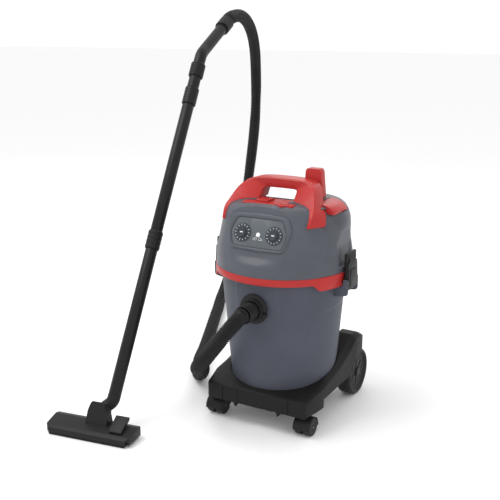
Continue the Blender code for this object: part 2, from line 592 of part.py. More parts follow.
def make_head_inside():
    ring("motor_mount", 0.0350, 0.0660, 0.4343, 0.4398, RUBBER, 32)
    turned("motor", [(0.0300, 0.4430), (0.0670, 0.4430), (0.0670, 0.4716), (0, 0.4716), (0, 0.5700),
                     (0.0160, 0.5700), (0.0180, 0.5620), (0.0440, 0.5620), (0.0480, 0.5560), (0.0480, 0.4790),
                     (0.0700, 0.4740), (0.0700, 0.4401), (0.0300, 0.4401)], STEEL, 28, True)
    fan = rod("motor_fan", 0.0620, 0.4450, 0.4470, CAST, 32, 0.0004)
    boolean(fan, rod("fan_hub", 0.0090, 0.4440, 0.4700, None, 16), "UNION")
    for step in range(3):
        boolean(fan, block("fan_blade_" + str(step), (-0.0600, -0.0010, 0.4460), (0.0600, 0.0010, 0.4660), None,
                           rotation=(0, 0, math.pi * step / 3)), "UNION")
    pleats = 28
    outline = []
    for step in range(pleats):
        for radius, offset in ((0.0750, 0.0), (0.0700, 0.5)):
            angle = 2 * math.pi * (step + offset) / pleats
            outline.append((radius * math.cos(angle), radius * math.sin(angle)))
    cartridge = prism("filter_cartridge", outline, 0.3060, 0.4292, "XY", PAPER)
    boolean(cartridge, rod("filter_core", 0.0600, 0.20, 0.50, None, 28))
    rod("filter_cap", 0.0780, 0.2960, 0.3057, BLACK, 32, 0.0015)
    cage = turned("float_cage", [(0.0250, 0.4292), (0.0280, 0.4292), (0.0280, 0.3500), (0.0260, 0.3480), (0, 0.3480),
                                 (0, 0.3500), (0.0250, 0.3500)], BLACK, 24, True)
    for step in range(2):
        boolean(cage, block("cage_window_" + str(step), (-0.05, -0.0100, 0.3600), (0.05, 0.0100, 0.4100), None,
                            rotation=(0, 0, math.pi / 2 * step + 0.4)))
    count = 10
    turned("float_ball", [(0.0200 * math.sin(math.pi * i / count), 0.3706 + 0.0200 * math.cos(math.pi * i / count))
                          for i in range(count + 1)], WHITE, 20)


# ---- dolly -----------------------------------------------------------------------------------------------------
DOLLY_STATIONS = (   # y, half width, half width of the ridge, outer edge height, ridge height
    (-0.1720, 0.1460, 0.1350, 0.1000, 0.1050), (-0.1650, 0.1530, 0.1390, 0.1035, 0.1075),
    (-0.0970, 0.1650, 0.1480, 0.1160, 0.1180), (-0.0500, 0.1650, 0.1490, 0.1210, 0.1290),
    (0.0300, 0.1650, 0.1500, 0.1360, 0.1520), (0.1070, 0.1660, 0.1510, 0.1660, 0.1880),
    (0.1300, 0.1690, 0.1540, 0.1900, 0.2020), (0.1600, 0.1690, 0.1540, 0.1930, 0.2020),
    (0.1880, 0.1680, 0.1530, 0.1840, 0.1900))


def make_dolly():
    shape = bmesh.new()
    loops = []
    for y, half, ridge, edge, top in DOLLY_STATIONS:
        corners = [(-half, DOLLY_BOTTOM), (-half, edge), (-ridge, top), (ridge, top), (half, edge), (half, DOLLY_BOTTOM)]
        loops.append([shape.verts.new((x, y, z)) for x, z in corners])
    for one, two in zip(loops, loops[1:]):
        for corner in range(6):
            after = (corner + 1) % 6
            shape.faces.new((one[corner], one[after], two[after], two[corner]))
    shape.faces.new(loops[0])
    shape.faces.new(list(reversed(loops[-1])))
    bmesh.ops.recalc_face_normals(shape, faces=shape.faces)
    mesh = bpy.data.meshes.new("dolly_frame")
    shape.to_mesh(mesh)
    shape.free()
    dolly = new_object("dolly_frame", mesh, BLACK)
    for sign, side in ((-1, "left"), (1, "right")):
        foot = prism("dolly_foot_" + side, [(sign * 0.0575, 0.064), (sign * 0.0745, 0.064), (sign * 0.0660, 0.0440)],
                     -0.1640, -0.1500, "XZ", None)
        boolean(dolly, foot, "UNION")
    grown = [(0, 0.45)] + [(radius + 0.0004, height) for radius, height in reversed(TUB_OUTSIDE)]
    boolean(dolly, turned("tub_room", grown + [(0.1300, TUB_FLOOR - GAP), (0, TUB_FLOOR - GAP)], None, 44))
    boolean(dolly, block("between_posts", (-0.1130, 0.06, 0.0960), (0.1130, 0.20, 0.30), None))
    boolean(dolly, block("under_hollow", (-0.1180, -0.1150, 0.04), (0.1180, 0.1500, 0.0735), None))
    boolean(dolly, block("front_hollow", (-0.1080, -0.1660, 0.04), (0.1080, -0.1240, 0.0950), None, location=(0, 0.0, 0)))
    for sign, side in ((-1, "left"), (1, "right")):
        low_x, high_x = sorted((sign * 0.1150, sign * 0.20))
        well = rod("wheel_well_" + side, REAR_WHEEL_RADIUS + 0.0045, low_x, high_x, None, 36,
                   location=(0, *AXLE), rotation=(0, math.pi / 2, 0))
        boolean(dolly, well)
        boolean(dolly, block("rail_relief_" + side, (low_x, -0.080, 0.04), (high_x, 0.11, 0.0850), None))
        boolean(dolly, rod("caster_bore_" + side, 0.0054, 0.04, 0.0870, None, 16,
                           location=(sign * CASTER_AT[0], -CASTER_AT[1] - CASTER_TRAIL, 0)))
    boolean(dolly, rod("axle_bore", 0.0053, -0.20, 0.20, None, 16, location=(0, *AXLE),
                       rotation=(0, math.pi / 2, 0)))
    boolean(dolly, block("panel_relief", (-0.056, -0.18, 0.05), (0.056, -0.1708, 0.12), None))


def make_rear_wheels():
    rod("rear_axle", 0.0050, -0.1560, 0.1560, STEEL, 16, 0.0005, location=(0, *AXLE), rotation=(0, math.pi / 2, 0))
    for side, sign in SIDES:
        spin = empty("rear_axis_" + side, (0, *AXLE), MACHINE, Matrix.Rotation(sign * math.pi / 2, 3, "Y"))
        turned("rear_wheel_" + side, [
            (0.0053, 0.1190), (0.0053, 0.1560), (0.0150, 0.1560), (0.0180, 0.1540), (0.0560, 0.1560),
            (0.0590, 0.1625), (0.0650, 0.1625), (0.0688, 0.1580), (0.0688, 0.1230), (0.0660, 0.1190),
            (0.0600, 0.1200), (0.0600, 0.1420), (0.0140, 0.1420), (0.0140, 0.1190)], RUBBER, 32, True, parent=spin)
        turned("wheel_cap_" + side, [(0, 0.1612), (0.0120, 0.1612), (0.0135, 0.1600), (0.0135, 0.1564), (0, 0.1564)],
               BLACK, 20, parent=spin)


def make_casters():
    for side, sign in SIDES:
        swivel = empty("swivel_axis_" + side, (sign * CASTER_AT[0], -CASTER_AT[1] - CASTER_TRAIL, 0), MACHINE)
        centre = (CASTER_TRAIL, CASTER_WHEEL_RADIUS)
        arc = [math.radians(a) for a in range(-10, 191, 20)]
        spine = prism("caster_fork_" + side, [(centre[0] + 0.0272 * math.cos(a), centre[1] + 0.0272 * math.sin(a))
                                              for a in arc] + [(centre[0], centre[1] - 0.0070)],
                      -0.0040, 0.0040, "YZ", BLACK, parent=swivel)
        hood = prism("caster_hood_" + side, [(centre[0] + 0.0285 * math.cos(a), centre[1] + 0.0285 * math.sin(a))
                                             for a in arc] +
                     [(centre[0] + 0.0262 * math.cos(a), centre[1] + 0.0262 * math.sin(a)) for a in reversed(arc)],
                     -0.0250, 0.0250, "YZ", None, parent=swivel)
        boolean(spine, hood, "UNION")
        boolean(spine, rod("caster_collar_" + side, 0.0090, 0.0504, 0.0596, None, 16, parent=swivel), "UNION")
        boolean(spine, rod("caster_stem_" + side, 0.0050, 0.0550, 0.0850, None, 16, parent=swivel), "UNION")
        boolean(spine, rod("caster_hole_" + side, 0.0032, -0.03, 0.03, None, 12, parent=swivel,
                           location=(0, *centre), rotation=(0, math.pi / 2, 0)))
        roll = empty("roll_axis_" + side, (0, *centre), swivel, Matrix.Rotation(math.pi / 2, 3, "Y"))
        rod("caster_axle_" + side, 0.0029, -0.0235, 0.0235, STEEL, 12, 0.0003, parent=roll)
        for place, way in (("outer", sign), ("inner", -sign)):
            turned("caster_wheel_" + side + "_" + place, [
                (0.0032, way * 0.0045), (CASTER_WHEEL_RADIUS - 0.001, way * 0.0045),
                (CASTER_WHEEL_RADIUS, way * 0.0060), (CASTER_WHEEL_RADIUS, way * 0.0220),
                (CASTER_WHEEL_RADIUS - 0.0020, way * 0.0245), (0.0032, way * 0.0245)][::-way], RUBBER, 24, True,
                parent=roll)


# ---- wand and nozzle -------------------------------------------------------------------------------------------
WAND_DIRECTION = (WAND_TOP - WAND_FOOT).normalized()
WAND_SIDE = WAND_DIRECTION.cross(Vector((0, 1, 0))).normalized()
WAND_BACK = WAND_DIRECTION.cross(WAND_SIDE).normalized()
WAND = empty("wand_frame", WAND_FOOT, MACHINE,
             Matrix((WAND_SIDE, WAND_BACK, WAND_DIRECTION)).transposed())


def bent_tube(name, stations, finish, steps=24, **place):
    """A hollow round tube through stations of (point, outer radius, inner radius), closed by its two end faces."""
    points = [point for point, _, _ in stations]
    shape = bmesh.new()
    side = None
    outer_loops, inner_loops = [], []
    for index, (point, outer, inner) in enumerate(stations):
        before = points[max(index - 1, 0)]
        after = points[min(index + 1, len(points) - 1)]
        along = (after - before).normalized()
        if side is None:
            side = along.cross(Vector((0.3, 0.9, 0.2))).normalized()
        side = (side - along * side.dot(along)).normalized()
        up = along.cross(side)
        for radius, loops in ((outer, outer_loops), (inner, inner_loops)):
            loops.append([shape.verts.new(point + radius * (side * math.cos(2 * math.pi * s / steps)
                                                            + up * math.sin(2 * math.pi * s / steps)))
                          for s in range(steps)])
    for loops in (outer_loops, inner_loops):
        for one, two in zip(loops, loops[1:]):
            for step in range(steps):
                after = (step + 1) % steps
                shape.faces.new((one[step], one[after], two[after], two[step]))
    for one, two in ((outer_loops[0], inner_loops[0]), (inner_loops[-1], outer_loops[-1])):
        for step in range(steps):
            after = (step + 1) % steps
            shape.faces.new((one[step], one[after], two[after], two[step]))
    bmesh.ops.recalc_face_normals(shape, faces=shape.faces)
    mesh = bpy.data.meshes.new(name)
    shape.to_mesh(mesh)
    shape.free()
    smooth(mesh)
    return new_object(name, mesh, finish, **place)


def make_wand():
    lower, joint, top = 0.0100, LOWER_LENGTH, LOWER_LENGTH + UPPER_LENGTH
    ring("lower_tube", TUBE_RADIUS - TUBE_WALL, TUBE_RADIUS, lower, joint, BLACK, 24, 0.0003, parent=WAND)
    ring("upper_tube", TUBE_RADIUS - TUBE_WALL, TUBE_RADIUS, joint + GAP, top + 0.020, BLACK, 24, 0.0003, parent=WAND)
    ring("tube_collar", TUBE_RADIUS + GAP, 0.0212, joint - 0.0270, joint + 0.0270, BLACK, 28, 0.0020, parent=WAND)
    base = WAND_FOOT
    along = WAND_DIRECTION
    out = HAND_OUT
    socket_low, socket_high = top - 0.0250, top + 0.0280
    stations = [(base + along * socket_low, 0.0205, TUBE_RADIUS + GAP),
                (base + along * (socket_low + 0.002), 0.0212, TUBE_RADIUS + GAP),
                (base + along * (top + 0.0205), 0.0212, TUBE_RADIUS + GAP),
                (base + along * (top + 0.0206), 0.0212, TUBE_RADIUS - 0.0020),
                (base + along * (socket_high - 0.001), 0.0212, TUBE_RADIUS - 0.0020),
                (base + along * socket_high, TUBE_RADIUS, TUBE_RADIUS - 0.0020)]
    start = base + along * HAND_BEND_AT
    curve = bezier_arc(start, start + along * 0.030, HAND_BEND_END - out * 0.030, HAND_BEND_END, 7)
    stations += [(point, TUBE_RADIUS, TUBE_RADIUS - 0.0020) for point in curve]
    end = HOSE_END - out * 0.0003
    stations.append((end - out * 0.0003, TUBE_RADIUS, TUBE_RADIUS - 0.0020))
    bent_tube("hand_tube", stations, BLACK, 18)
    bent_tube("hand_cuff", [(end - out * 0.0440, 0.0215, TUBE_RADIUS + GAP),
                            (end - out * 0.0420, 0.0230, TUBE_RADIUS + GAP),
                            (end - out * 0.0015, 0.0230, TUBE_RADIUS + GAP),
                            (end - out * 0.0003, 0.0222, TUBE_RADIUS + GAP)], BLACK, 24)
    ring("air_ring", TUBE_RADIUS + GAP, 0.0220, AIR_RING_AT - 0.022, AIR_RING_AT + 0.022, BLACK, 28, 0.0015,
         parent=WAND)


NOZZLE = empty("nozzle_frame", NOZZLE_AT, MACHINE, Matrix.Rotation(NOZZLE_TURN, 3, "Z"))


def make_nozzle():
    half_length, half_depth = NOZZLE_LENGTH / 2, NOZZLE_DEPTH / 2
    body = prism("nozzle_body", [(-half_depth, 0.0062), (-half_depth, 0.0200), (-0.0250, 0.0270), (0.0200, 0.0370),
                                 (half_depth, 0.0330), (half_depth, 0.0062)], -half_length, half_length, "YZ",
                 BLACK, parent=NOZZLE)
    across = NECK_PIVOT[0]
    hub = prism("nozzle_hub", [(-0.0340, 0.0250), (0.0340, 0.0250), (0.0270, 0.0800), (0.0130, 0.0960),
                               (-0.0130, 0.0960), (-0.0270, 0.0800)], -0.0340, 0.0010, "XZ", None,
                location=(across, 0.0330, 0), parent=NOZZLE)
    lean = block("hub_lean", (-0.05, -0.060, -0.02), (0.07, 0.0, 0.10), None, parent=NOZZLE,
                 location=(0, 0.0000, 0.034), rotation=(math.radians(-14), 0, 0))
    boolean(hub, lean)
    boolean(body, hub, "UNION")
    boolean(body, block("nozzle_hollow", (-half_length + 0.004, -half_depth + 0.004, 0.0), (half_length - 0.004,
                        half_depth - 0.004, 0.0160), None, parent=NOZZLE))
    boolean(body, rod("neck_seat", 0.0205, -0.0225, 0.0225, None, 28, parent=NOZZLE, location=NECK_PIVOT,
                      rotation=(0, math.pi / 2, 0)))
    boolean(body, block("neck_way", (across - 0.0225, NECK_PIVOT[1] - 0.0120, NECK_PIVOT[2] - 0.012),
                        (across + 0.0225, 0.0500, 0.1200), None, parent=NOZZLE))
    boolean(body, block("neck_side_way", (across, NECK_PIVOT[1] + 0.0020, NECK_PIVOT[2] - 0.002),
                        (across + 0.0400, 0.0500, 0.1200), None, parent=NOZZLE))
    boolean(body, rod("suction_port", 0.0120, 0.0100, 0.0450, None, 20, parent=NOZZLE,
                      location=(NECK_PIVOT[0], NECK_PIVOT[1], 0)))
    for side, sign in SIDES:
        corner = block("nozzle_corner_" + side, (-0.03, -0.03, -0.05), (0.03, 0.03, 0.08), None, parent=NOZZLE,
                       location=(sign * (half_length + 0.0150), -half_depth - 0.0150, 0),
                       rotation=(0, 0, math.radians(45)))
        boolean(body, corner)
    sole = block("nozzle_sole", (-half_length + 0.012, -half_depth + 0.001, 0.0008), (half_length - 0.012,
                 half_depth - 0.001, 0.0059), BLACK, parent=NOZZLE)
    boolean(sole, block("sole_mouth", (-0.1000, -0.0200, -0.01), (0.1000, 0.0200, 0.02), None, parent=NOZZLE))
    brush = block("brush_strip", (-0.0980, -0.0185, 0.0005), (0.0980, 0.0185, 0.0100), BRISTLE, parent=NOZZLE)
    boolean(brush, block("brush_middle", (-0.0930, -0.0135, -0.01), (0.0930, 0.0135, 0.02), None, parent=NOZZLE))
    tilt = prism("nozzle_pedal", [(-0.0200, 0.0300), (0.0260, 0.0480), (0.0300, 0.0560), (0.0240, 0.0600),
                                  (-0.0180, 0.0360), (-0.0215, 0.0330)], 0.0620, 0.1000, "YZ", BLACK, parent=NOZZLE)
    soften(tilt, 0.001, 1)
    turn = NOZZLE.matrix_local
    pivot = turn @ Vector(NECK_PIVOT)
    foot = WAND_FOOT + WAND_DIRECTION * 0.0097
    lead = turn.to_3x3() @ Vector((0.10, 0.80, 0.60)).normalized()
    straight = foot - WAND_DIRECTION * 0.008
    curve = bezier_arc(pivot, pivot + lead * 0.028, straight - WAND_DIRECTION * 0.022, straight, 6) + [foot]
    neck = bent_tube("nozzle_neck", [(point, 0.0172 + 0.0006 * index / 7, 0.0130) for index, point in
                                     enumerate(curve)], BLACK, 24)
    barrel = rod("neck_barrel", 0.0200, -0.0220, 0.0220, None, 28, parent=NOZZLE, location=NECK_PIVOT,
                 rotation=(0, math.pi / 2, 0))
    boolean(neck, barrel, "UNION")


make_tub()
make_latches()
make_inlet()
make_hose()
SOLID = make_head_shell()
make_head_outside(SOLID)
make_head_inside()
make_dolly()
make_rear_wheels()
make_casters()
make_wand()
make_nozzle()
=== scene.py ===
"""Looks for a wheeled wet and dry vacuum cleaner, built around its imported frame.

The machine's own axes are used throughout: its tub stands on the vertical axis, its control panel
faces -Y and the floor is at height nought. Lengths are metres.
"""

import json
import logging
import math
from dataclasses import dataclass, field
from enum import Enum
from typing import Iterable, Sequence

import bmesh
import bpy
from mathutils import Matrix, Vector

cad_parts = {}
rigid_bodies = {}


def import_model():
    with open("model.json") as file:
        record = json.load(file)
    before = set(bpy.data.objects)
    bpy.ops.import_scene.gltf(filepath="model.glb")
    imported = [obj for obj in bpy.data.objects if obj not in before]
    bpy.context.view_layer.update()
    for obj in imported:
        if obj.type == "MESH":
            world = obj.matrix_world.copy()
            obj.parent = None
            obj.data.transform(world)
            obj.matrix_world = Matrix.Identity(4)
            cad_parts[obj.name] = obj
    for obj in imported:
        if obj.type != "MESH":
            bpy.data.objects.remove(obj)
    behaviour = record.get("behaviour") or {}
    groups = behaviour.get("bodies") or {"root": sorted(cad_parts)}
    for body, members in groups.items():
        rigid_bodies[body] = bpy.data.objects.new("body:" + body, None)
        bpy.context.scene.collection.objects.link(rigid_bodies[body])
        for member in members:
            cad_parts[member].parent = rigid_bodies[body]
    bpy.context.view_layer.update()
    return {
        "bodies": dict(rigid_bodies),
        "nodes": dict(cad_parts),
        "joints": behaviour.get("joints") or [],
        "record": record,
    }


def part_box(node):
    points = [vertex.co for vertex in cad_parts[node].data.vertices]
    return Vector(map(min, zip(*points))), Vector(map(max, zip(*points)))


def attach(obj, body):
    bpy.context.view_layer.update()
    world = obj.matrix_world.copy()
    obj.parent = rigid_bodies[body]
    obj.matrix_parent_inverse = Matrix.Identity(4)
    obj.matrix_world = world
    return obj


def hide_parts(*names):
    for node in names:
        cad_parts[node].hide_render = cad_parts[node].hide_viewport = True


LOG = logging.getLogger("vacuum")
Profile = list[tuple[float, float]]
SIDES = (("left", -1), ("right", 1))


# ---- shading ---------------------------------------------------------------------------------------------
class Wire:
    """One output socket of a node tree, with arithmetic that adds Math nodes."""

    def __init__(self, graph: "Graph", socket: bpy.types.NodeSocket) -> None:
        """Keep the socket and the graph it belongs to."""
        self.graph = graph
        self.socket = socket

    def _maths(self, operation: str, first: object, second: object, third: object = None) -> "Wire":
        """Add one Math node.

        Args:
            operation: The Math node's operation.
            first: Its first value or wire.
            second: Its second value or wire.
            third: Its third value, where the operation has one.

        Returns:
            The node's output.
        """
        values = {0: first, 1: second}
        if third is not None:
            values[2] = third
        return self.graph.wire("ShaderNodeMath", {"operation": operation}, values)

    def __add__(self, other: object) -> "Wire":
        """Sum."""
        return self._maths("ADD", self, other)

    __radd__ = __add__

    def __mul__(self, other: object) -> "Wire":
        """Product."""
        return self._maths("MULTIPLY", self, other)

    __rmul__ = __mul__

    def __sub__(self, other: object) -> "Wire":
        """Difference."""
        return self._maths("SUBTRACT", self, other)

    def sine(self) -> "Wire":
        """Sine of the value in radians."""
        return self._maths("SINE", self, 0.0)

    def step(self, low: float, high: float) -> "Wire":
        """Smooth step from 0 at low to 1 at high."""
        return self.graph.wire("ShaderNodeMapRange", {"interpolation_type": "SMOOTHSTEP"},
                               {"Value": self, "From Min": low, "From Max": high, "To Min": 0.0,
                                "To Max": 1.0})


class Graph:
    """A material's node tree, with one method that makes every node."""

    def __init__(self, name: str) -> None:
        """Start a material with a Principled shader.

        Args:
            name: What the piece or material is called.
        """
        self.material = bpy.data.materials.new(name)
        self.material.use_nodes = True
        self.tree = self.material.node_tree
        self.shader = self.tree.nodes["Principled BSDF"]

    def node(self, kind: str, settings: dict[str, object], values: dict[object, object]) -> bpy.types.Node:
        """Make a node, set it and wire it.

        Args:
            kind: The node's type name.
            settings: Attributes to set first; "stops" sets a colour ramp's stops.
            values: Input values or wires, by socket name or number.

        Returns:
            The node.
        """
        made = self.tree.nodes.new(kind)
        for key, value in settings.items():
            if key == "stops":
                ramp = made.color_ramp
                for index, (place, colour) in enumerate(value):
                    stop = ramp.elements[index] if index < 2 else ramp.elements.new(place)
                    stop.position, stop.color = place, colour
            else:
                setattr(made, key, value)
        for key, value in values.items():
            if isinstance(value, Wire):
                self.tree.links.new(value.socket, made.inputs[key])
            else:
                made.inputs[key].default_value = value
        return made

    def wire(self, kind: str, settings: dict[str, object], values: dict[object, object],
             output: object = 0) -> Wire:
        """Make a node and return one of its outputs."""
        return Wire(self, self.node(kind, settings, values).outputs[output])

    def place(self) -> Wire:
        """Object coordinates."""
        return self.wire("ShaderNodeTexCoord", {}, {}, "Object")

    def noise(self, scale: float, detail: float = 2.0, roughness: float = 0.5) -> Wire:
        """Noise value on object coordinates, in features per metre."""
        return self.wire("ShaderNodeTexNoise", {}, {"Vector": self.place(), "Scale": scale, "Detail": detail,
                                                    "Roughness": roughness}, "Fac")

    def blend(self, factor: Wire, first: Sequence[float], second: Sequence[float]) -> Wire:
        """Mix two colours by a factor."""
        return self.wire("ShaderNodeMix", {"data_type": "RGBA"}, {"Factor": factor, 6: (*first, 1.0),
                                                                  7: (*second, 1.0)}, 2)

    def feed(self, name: str, value: object) -> None:
        """Give the shader's named socket a value or a wire.

        Args:
            name: What the piece or material is called.
            value: The value.
        """
        if isinstance(value, Wire):
            self.tree.links.new(value.socket, self.shader.inputs[name])
        else:
            self.shader.inputs[name].default_value = value

    def bump(self, height: Wire, distance: float, strength: float = 1.0) -> None:
        """Raise the surface a little by a height wire."""
        self.feed("Normal", self.wire("ShaderNodeBump", {}, {"Height": height, "Distance": distance,
                                                             "Strength": strength}))


def shifted(colour: Sequence[float], amount: float) -> tuple[float, ...]:
    """A colour made lighter or darker by a factor."""
    return tuple(min(1.0, channel * amount) for channel in colour)


@dataclass(frozen=True)
class Moulding:
    """Injection-moulded plastic: spark-eroded grain, a faint mottle and softly varying gloss."""

    colour: tuple[float, float, float]
    roughness: float = 0.45
    grain: float = 1500.0
    depth: float = 0.00004
    mottle: float = 0.05
    coat: float = 0.0
    gloss: float = 0.20

    def material(self, name: str) -> bpy.types.Material:
        """Make the material.

        Args:
            name: What the piece or material is called.

        Returns:
            The material.
        """
        graph = Graph(name)
        cloud = graph.noise(14.0, 3.0)
        fine = graph.noise(self.grain, 2.0, 0.6)
        graph.feed("Base Color", graph.blend(cloud.step(0.3, 0.7), shifted(self.colour, 1 - self.mottle),
                                             shifted(self.colour, 1 + self.mottle)))
        graph.feed("Roughness", self.roughness + (cloud - 0.5) * 0.10 + (fine - 0.5) * 0.08)
        graph.feed("Coat Weight", self.coat)
        graph.feed("Specular IOR Level", self.gloss)
        graph.bump(fine, self.depth)
        return graph.material


@dataclass(frozen=True)
class Rubber:
    """Matt rubber with a dusty bloom in broad patches."""

    colour: tuple[float, float, float]
    roughness: float = 0.7

    def material(self, name: str) -> bpy.types.Material:
        """Make the material.

        Args:
            name: What the piece or material is called.

        Returns:
            The material.
        """
        graph = Graph(name)
        bloom = graph.noise(30.0, 4.0, 0.6)
        fine = graph.noise(900.0)
        graph.feed("Base Color", graph.blend(bloom.step(0.45, 0.75), self.colour, shifted(self.colour, 1.35)))
        graph.feed("Roughness", self.roughness + (bloom - 0.5) * 0.15)
        graph.bump(fine, 0.00005)
        return graph.material


@dataclass(frozen=True)
class BareMetal:
    """Turned or cast metal with fine machining lines."""

    colour: tuple[float, float, float]
    roughness: float = 0.3
    lines: float = 2400.0

    def material(self, name: str) -> bpy.types.Material:
        """Make the material.

        Args:
            name: What the piece or material is called.

        Returns:
            The material.
        """
        graph = Graph(name)
        place = graph.wire("ShaderNodeSeparateXYZ", {}, {"Vector": graph.place()}, "Z")
        lines = (place * self.lines + graph.noise(60.0) * 6.0).sine()
        graph.feed("Base Color", graph.blend(graph.noise(40.0, 3.0), shifted(self.colour, 0.85), self.colour))
        graph.feed("Metallic", 1.0)
        graph.feed("Roughness", self.roughness + lines * 0.05)
        graph.bump(lines, 0.00001)
        return graph.material


@dataclass(frozen=True)
class FoldedPaper:
    """Filter paper: warm fibres of varying tone."""

    colour: tuple[float, float, float]

    def material(self, name: str) -> bpy.types.Material:
        """Make the material.

        Args:
            name: What the piece or material is called.

        Returns:
            The material.
        """
        graph = Graph(name)
        fibres = graph.noise(500.0, 6.0, 0.7)
        graph.feed("Base Color", graph.blend(fibres.step(0.3, 0.7), shifted(self.colour, 0.8), self.colour))
        graph.feed("Roughness", 0.85 + (fibres - 0.5) * 0.2)
        graph.bump(fibres, 0.0002)
        return graph.material


@dataclass(frozen=True)
class PrintedBoard:
    """Green circuit board with copper tracks under the mask."""

    colour: tuple[float, float, float]

    def material(self, name: str) -> bpy.types.Material:
        """Make the material.

        Args:
            name: What the piece or material is called.

        Returns:
            The material.
        """
        graph = Graph(name)
        tracks = graph.wire("ShaderNodeTexBrick", {}, {"Vector": graph.place(), "Scale": 60.0,
                                                       "Mortar Size": 0.02}, "Fac")
        graph.feed("Base Color", graph.blend(tracks, self.colour, shifted(self.colour, 2.2)))
        graph.feed("Roughness", 0.4 + tracks * 0.15)
        graph.bump(tracks, 0.0001)
        return graph.material


class Finish(Enum):
    """Every finish on the machine: its material slot and its recipe."""

    TUB = ("tub_grey", Moulding((0.0664, 0.0720, 0.0936), 0.50, depth=0.00003))
    HEAD = ("head_grey", Moulding((0.0799, 0.0851, 0.1018), 0.40, depth=0.00003, coat=0.06))
    RED = ("signal_red", Moulding((0.4100, 0.0260, 0.0240), 0.38, depth=0.00002, mottle=0.03, coat=0.04))
    # lighter red of the handle's ridge bead: a painted highlight for light caught along the grip's edge
    SEAM = ("signal_red", Moulding((0.62, 0.16, 0.14), 0.40, depth=0.00001, mottle=0.02))
    BLACK = ("black_plastic", Moulding((0.0107, 0.0107, 0.0112), 0.46))
    DOLLY = ("black_plastic", Moulding((0.0074, 0.0074, 0.0076), 0.55, 900.0, 0.00007))
    TUBE = ("black_plastic", Moulding((0.0102, 0.0102, 0.0105), 0.38, depth=0.00002))
    DIAL = ("black_plastic", Moulding((0.0420, 0.0480, 0.0600), 0.45, depth=0.00002))
    RUBBER = ("black_rubber", Rubber((0.0088, 0.0088, 0.0090)))
    HOSE = ("hose_black", Moulding((0.0079, 0.0079, 0.0081), 0.50, 700.0, 0.00005))
    PANEL = ("panel_grey", Moulding((0.0966, 0.1104, 0.1178), 0.42, depth=0.00001, mottle=0.02, coat=0.08))
    WHITE = ("white_lens", Moulding((0.80, 0.81, 0.82), 0.30, depth=0.00001, mottle=0.01, coat=0.2))
    STEEL = ("steel", BareMetal((0.55, 0.55, 0.56)))
    CAST = ("motor_metal", BareMetal((0.50, 0.51, 0.52), 0.42, 1200.0))
    BOARD = ("circuit_board", PrintedBoard((0.02, 0.16, 0.06)))
    PAPER = ("filter_paper", FoldedPaper((0.72, 0.66, 0.52)))
    BRISTLE = ("bristle", Rubber((0.030, 0.030, 0.030), 0.85))

    @property
    def slot(self) -> str:
        """Name of the record's material slot."""
        return self.value[0]

    def material(self) -> bpy.types.Material:
        """The one material of this finish, made when first asked for."""
        name = "finish_" + self.name.lower()
        return bpy.data.materials.get(name) or self.value[1].material(name)


# ---- outlines --------------------------------------------------------------------------------------------
def ease(low: float, high: float, value: float) -> float:
    """Smooth step from 0 at low to 1 at high."""
    share = min(1.0, max(0.0, (value - low) / (high - low)))
    return share * share * (3 - 2 * share)


def between(table: Sequence[tuple[float, float]], value: float) -> float:
    """Read a table of (place, amount) at a place, in straight runs.

    Args:
        table: Pairs of place and value.
        value: The value.

    Returns:
        The distance in metres.
    """
    for (low, first), (high, second) in zip(table, table[1:]):
        if value <= high:
            return first + (second - first) * max(0.0, value - low) / (high - low)
    return table[-1][1]


def softened(outline: Sequence[tuple[float, float]], radius: float, closed: bool = True,
             count: int = 3) -> Profile:
    """Round an outline's corners.

    Args:
        outline: Corner points.
        radius: How far from each corner its round starts.
        closed: Whether the last point joins the first; an open outline keeps its two ends.
        count: Segments in each round.

    Returns:
        The outline with a short curve in place of each corner.
    """
    points: Profile = []
    total = len(outline)
    for index, corner in enumerate(outline):
        if not closed and index in (0, total - 1):
            points.append(tuple(corner))
            continue
        here = Vector(corner)
        before = Vector(outline[index - 1]) - here
        after = Vector(outline[(index + 1) % total]) - here
        if before.angle(after) > math.radians(168):
            points.append(tuple(corner))
            continue
        start = here + before.normalized() * min(radius, before.length * 0.48)
        end = here + after.normalized() * min(radius, after.length * 0.48)
        for step in range(count + 1):
            share = step / count
            point = start * (1 - share) ** 2 + here * 2 * share * (1 - share) + end * share ** 2
            points.append((point.x, point.y))
    return points


def with_edges(values: Iterable[float], edges: Iterable[float], width: float) -> list[float]:
    """Add a close pair of grid lines either side of each edge, so that a step there comes out crisp.

    Args:
        values: Numbers along the way.
        edges: Where edges stand.
        width: Width of the easing.

    Returns:
        The numbers, in order.
    """
    extra = [edge + offset * width for edge in edges for offset in (-1.0, -0.35, 0.35, 1.0)]
    kept = [value for value in values if all(abs(value - other) > width * 0.3 for other in extra)]
    return sorted(kept + extra)


def smooth_run(points: Sequence[Vector], spacing: float, lowest: float = -1.0) -> list[Vector]:
    """Even points on one Catmull-Rom curve through a route.

    Args:
        points: The route's own points.
        spacing: Distance between the points returned.
        lowest: No point lies below this height.

    Returns:
        Points along the curve, with the route's ends kept.
    """
    ends = [2 * points[0] - points[1], *points, 2 * points[-1] - points[-2]]
    fine: list[Vector] = []
    for a, b, c, d in zip(ends, ends[1:], ends[2:], ends[3:]):
        for step in range(24):
            t = step / 24
            fine.append(0.5 * (2 * b + (c - a) * t + (2 * a - 5 * b + 4 * c - d) * t * t
                               + (3 * b - a - 3 * c + d) * t ** 3))
    fine.append(points[-1])
    lengths = [0.0]
    for a, b in zip(fine, fine[1:]):
        lengths.append(lengths[-1] + (b - a).length)
    count = round(lengths[-1] / spacing)
    run: list[Vector] = []
    index = 0
    for step in range(count + 1):
        goal = lengths[-1] * step / count
        while index < len(fine) - 2 and lengths[index + 1] < goal:
            index += 1
        share = (goal - lengths[index]) / (lengths[index + 1] - lengths[index])
        run.append(fine[index].lerp(fine[index + 1], share))
        run[-1].z = max(run[-1].z, lowest)
    return run


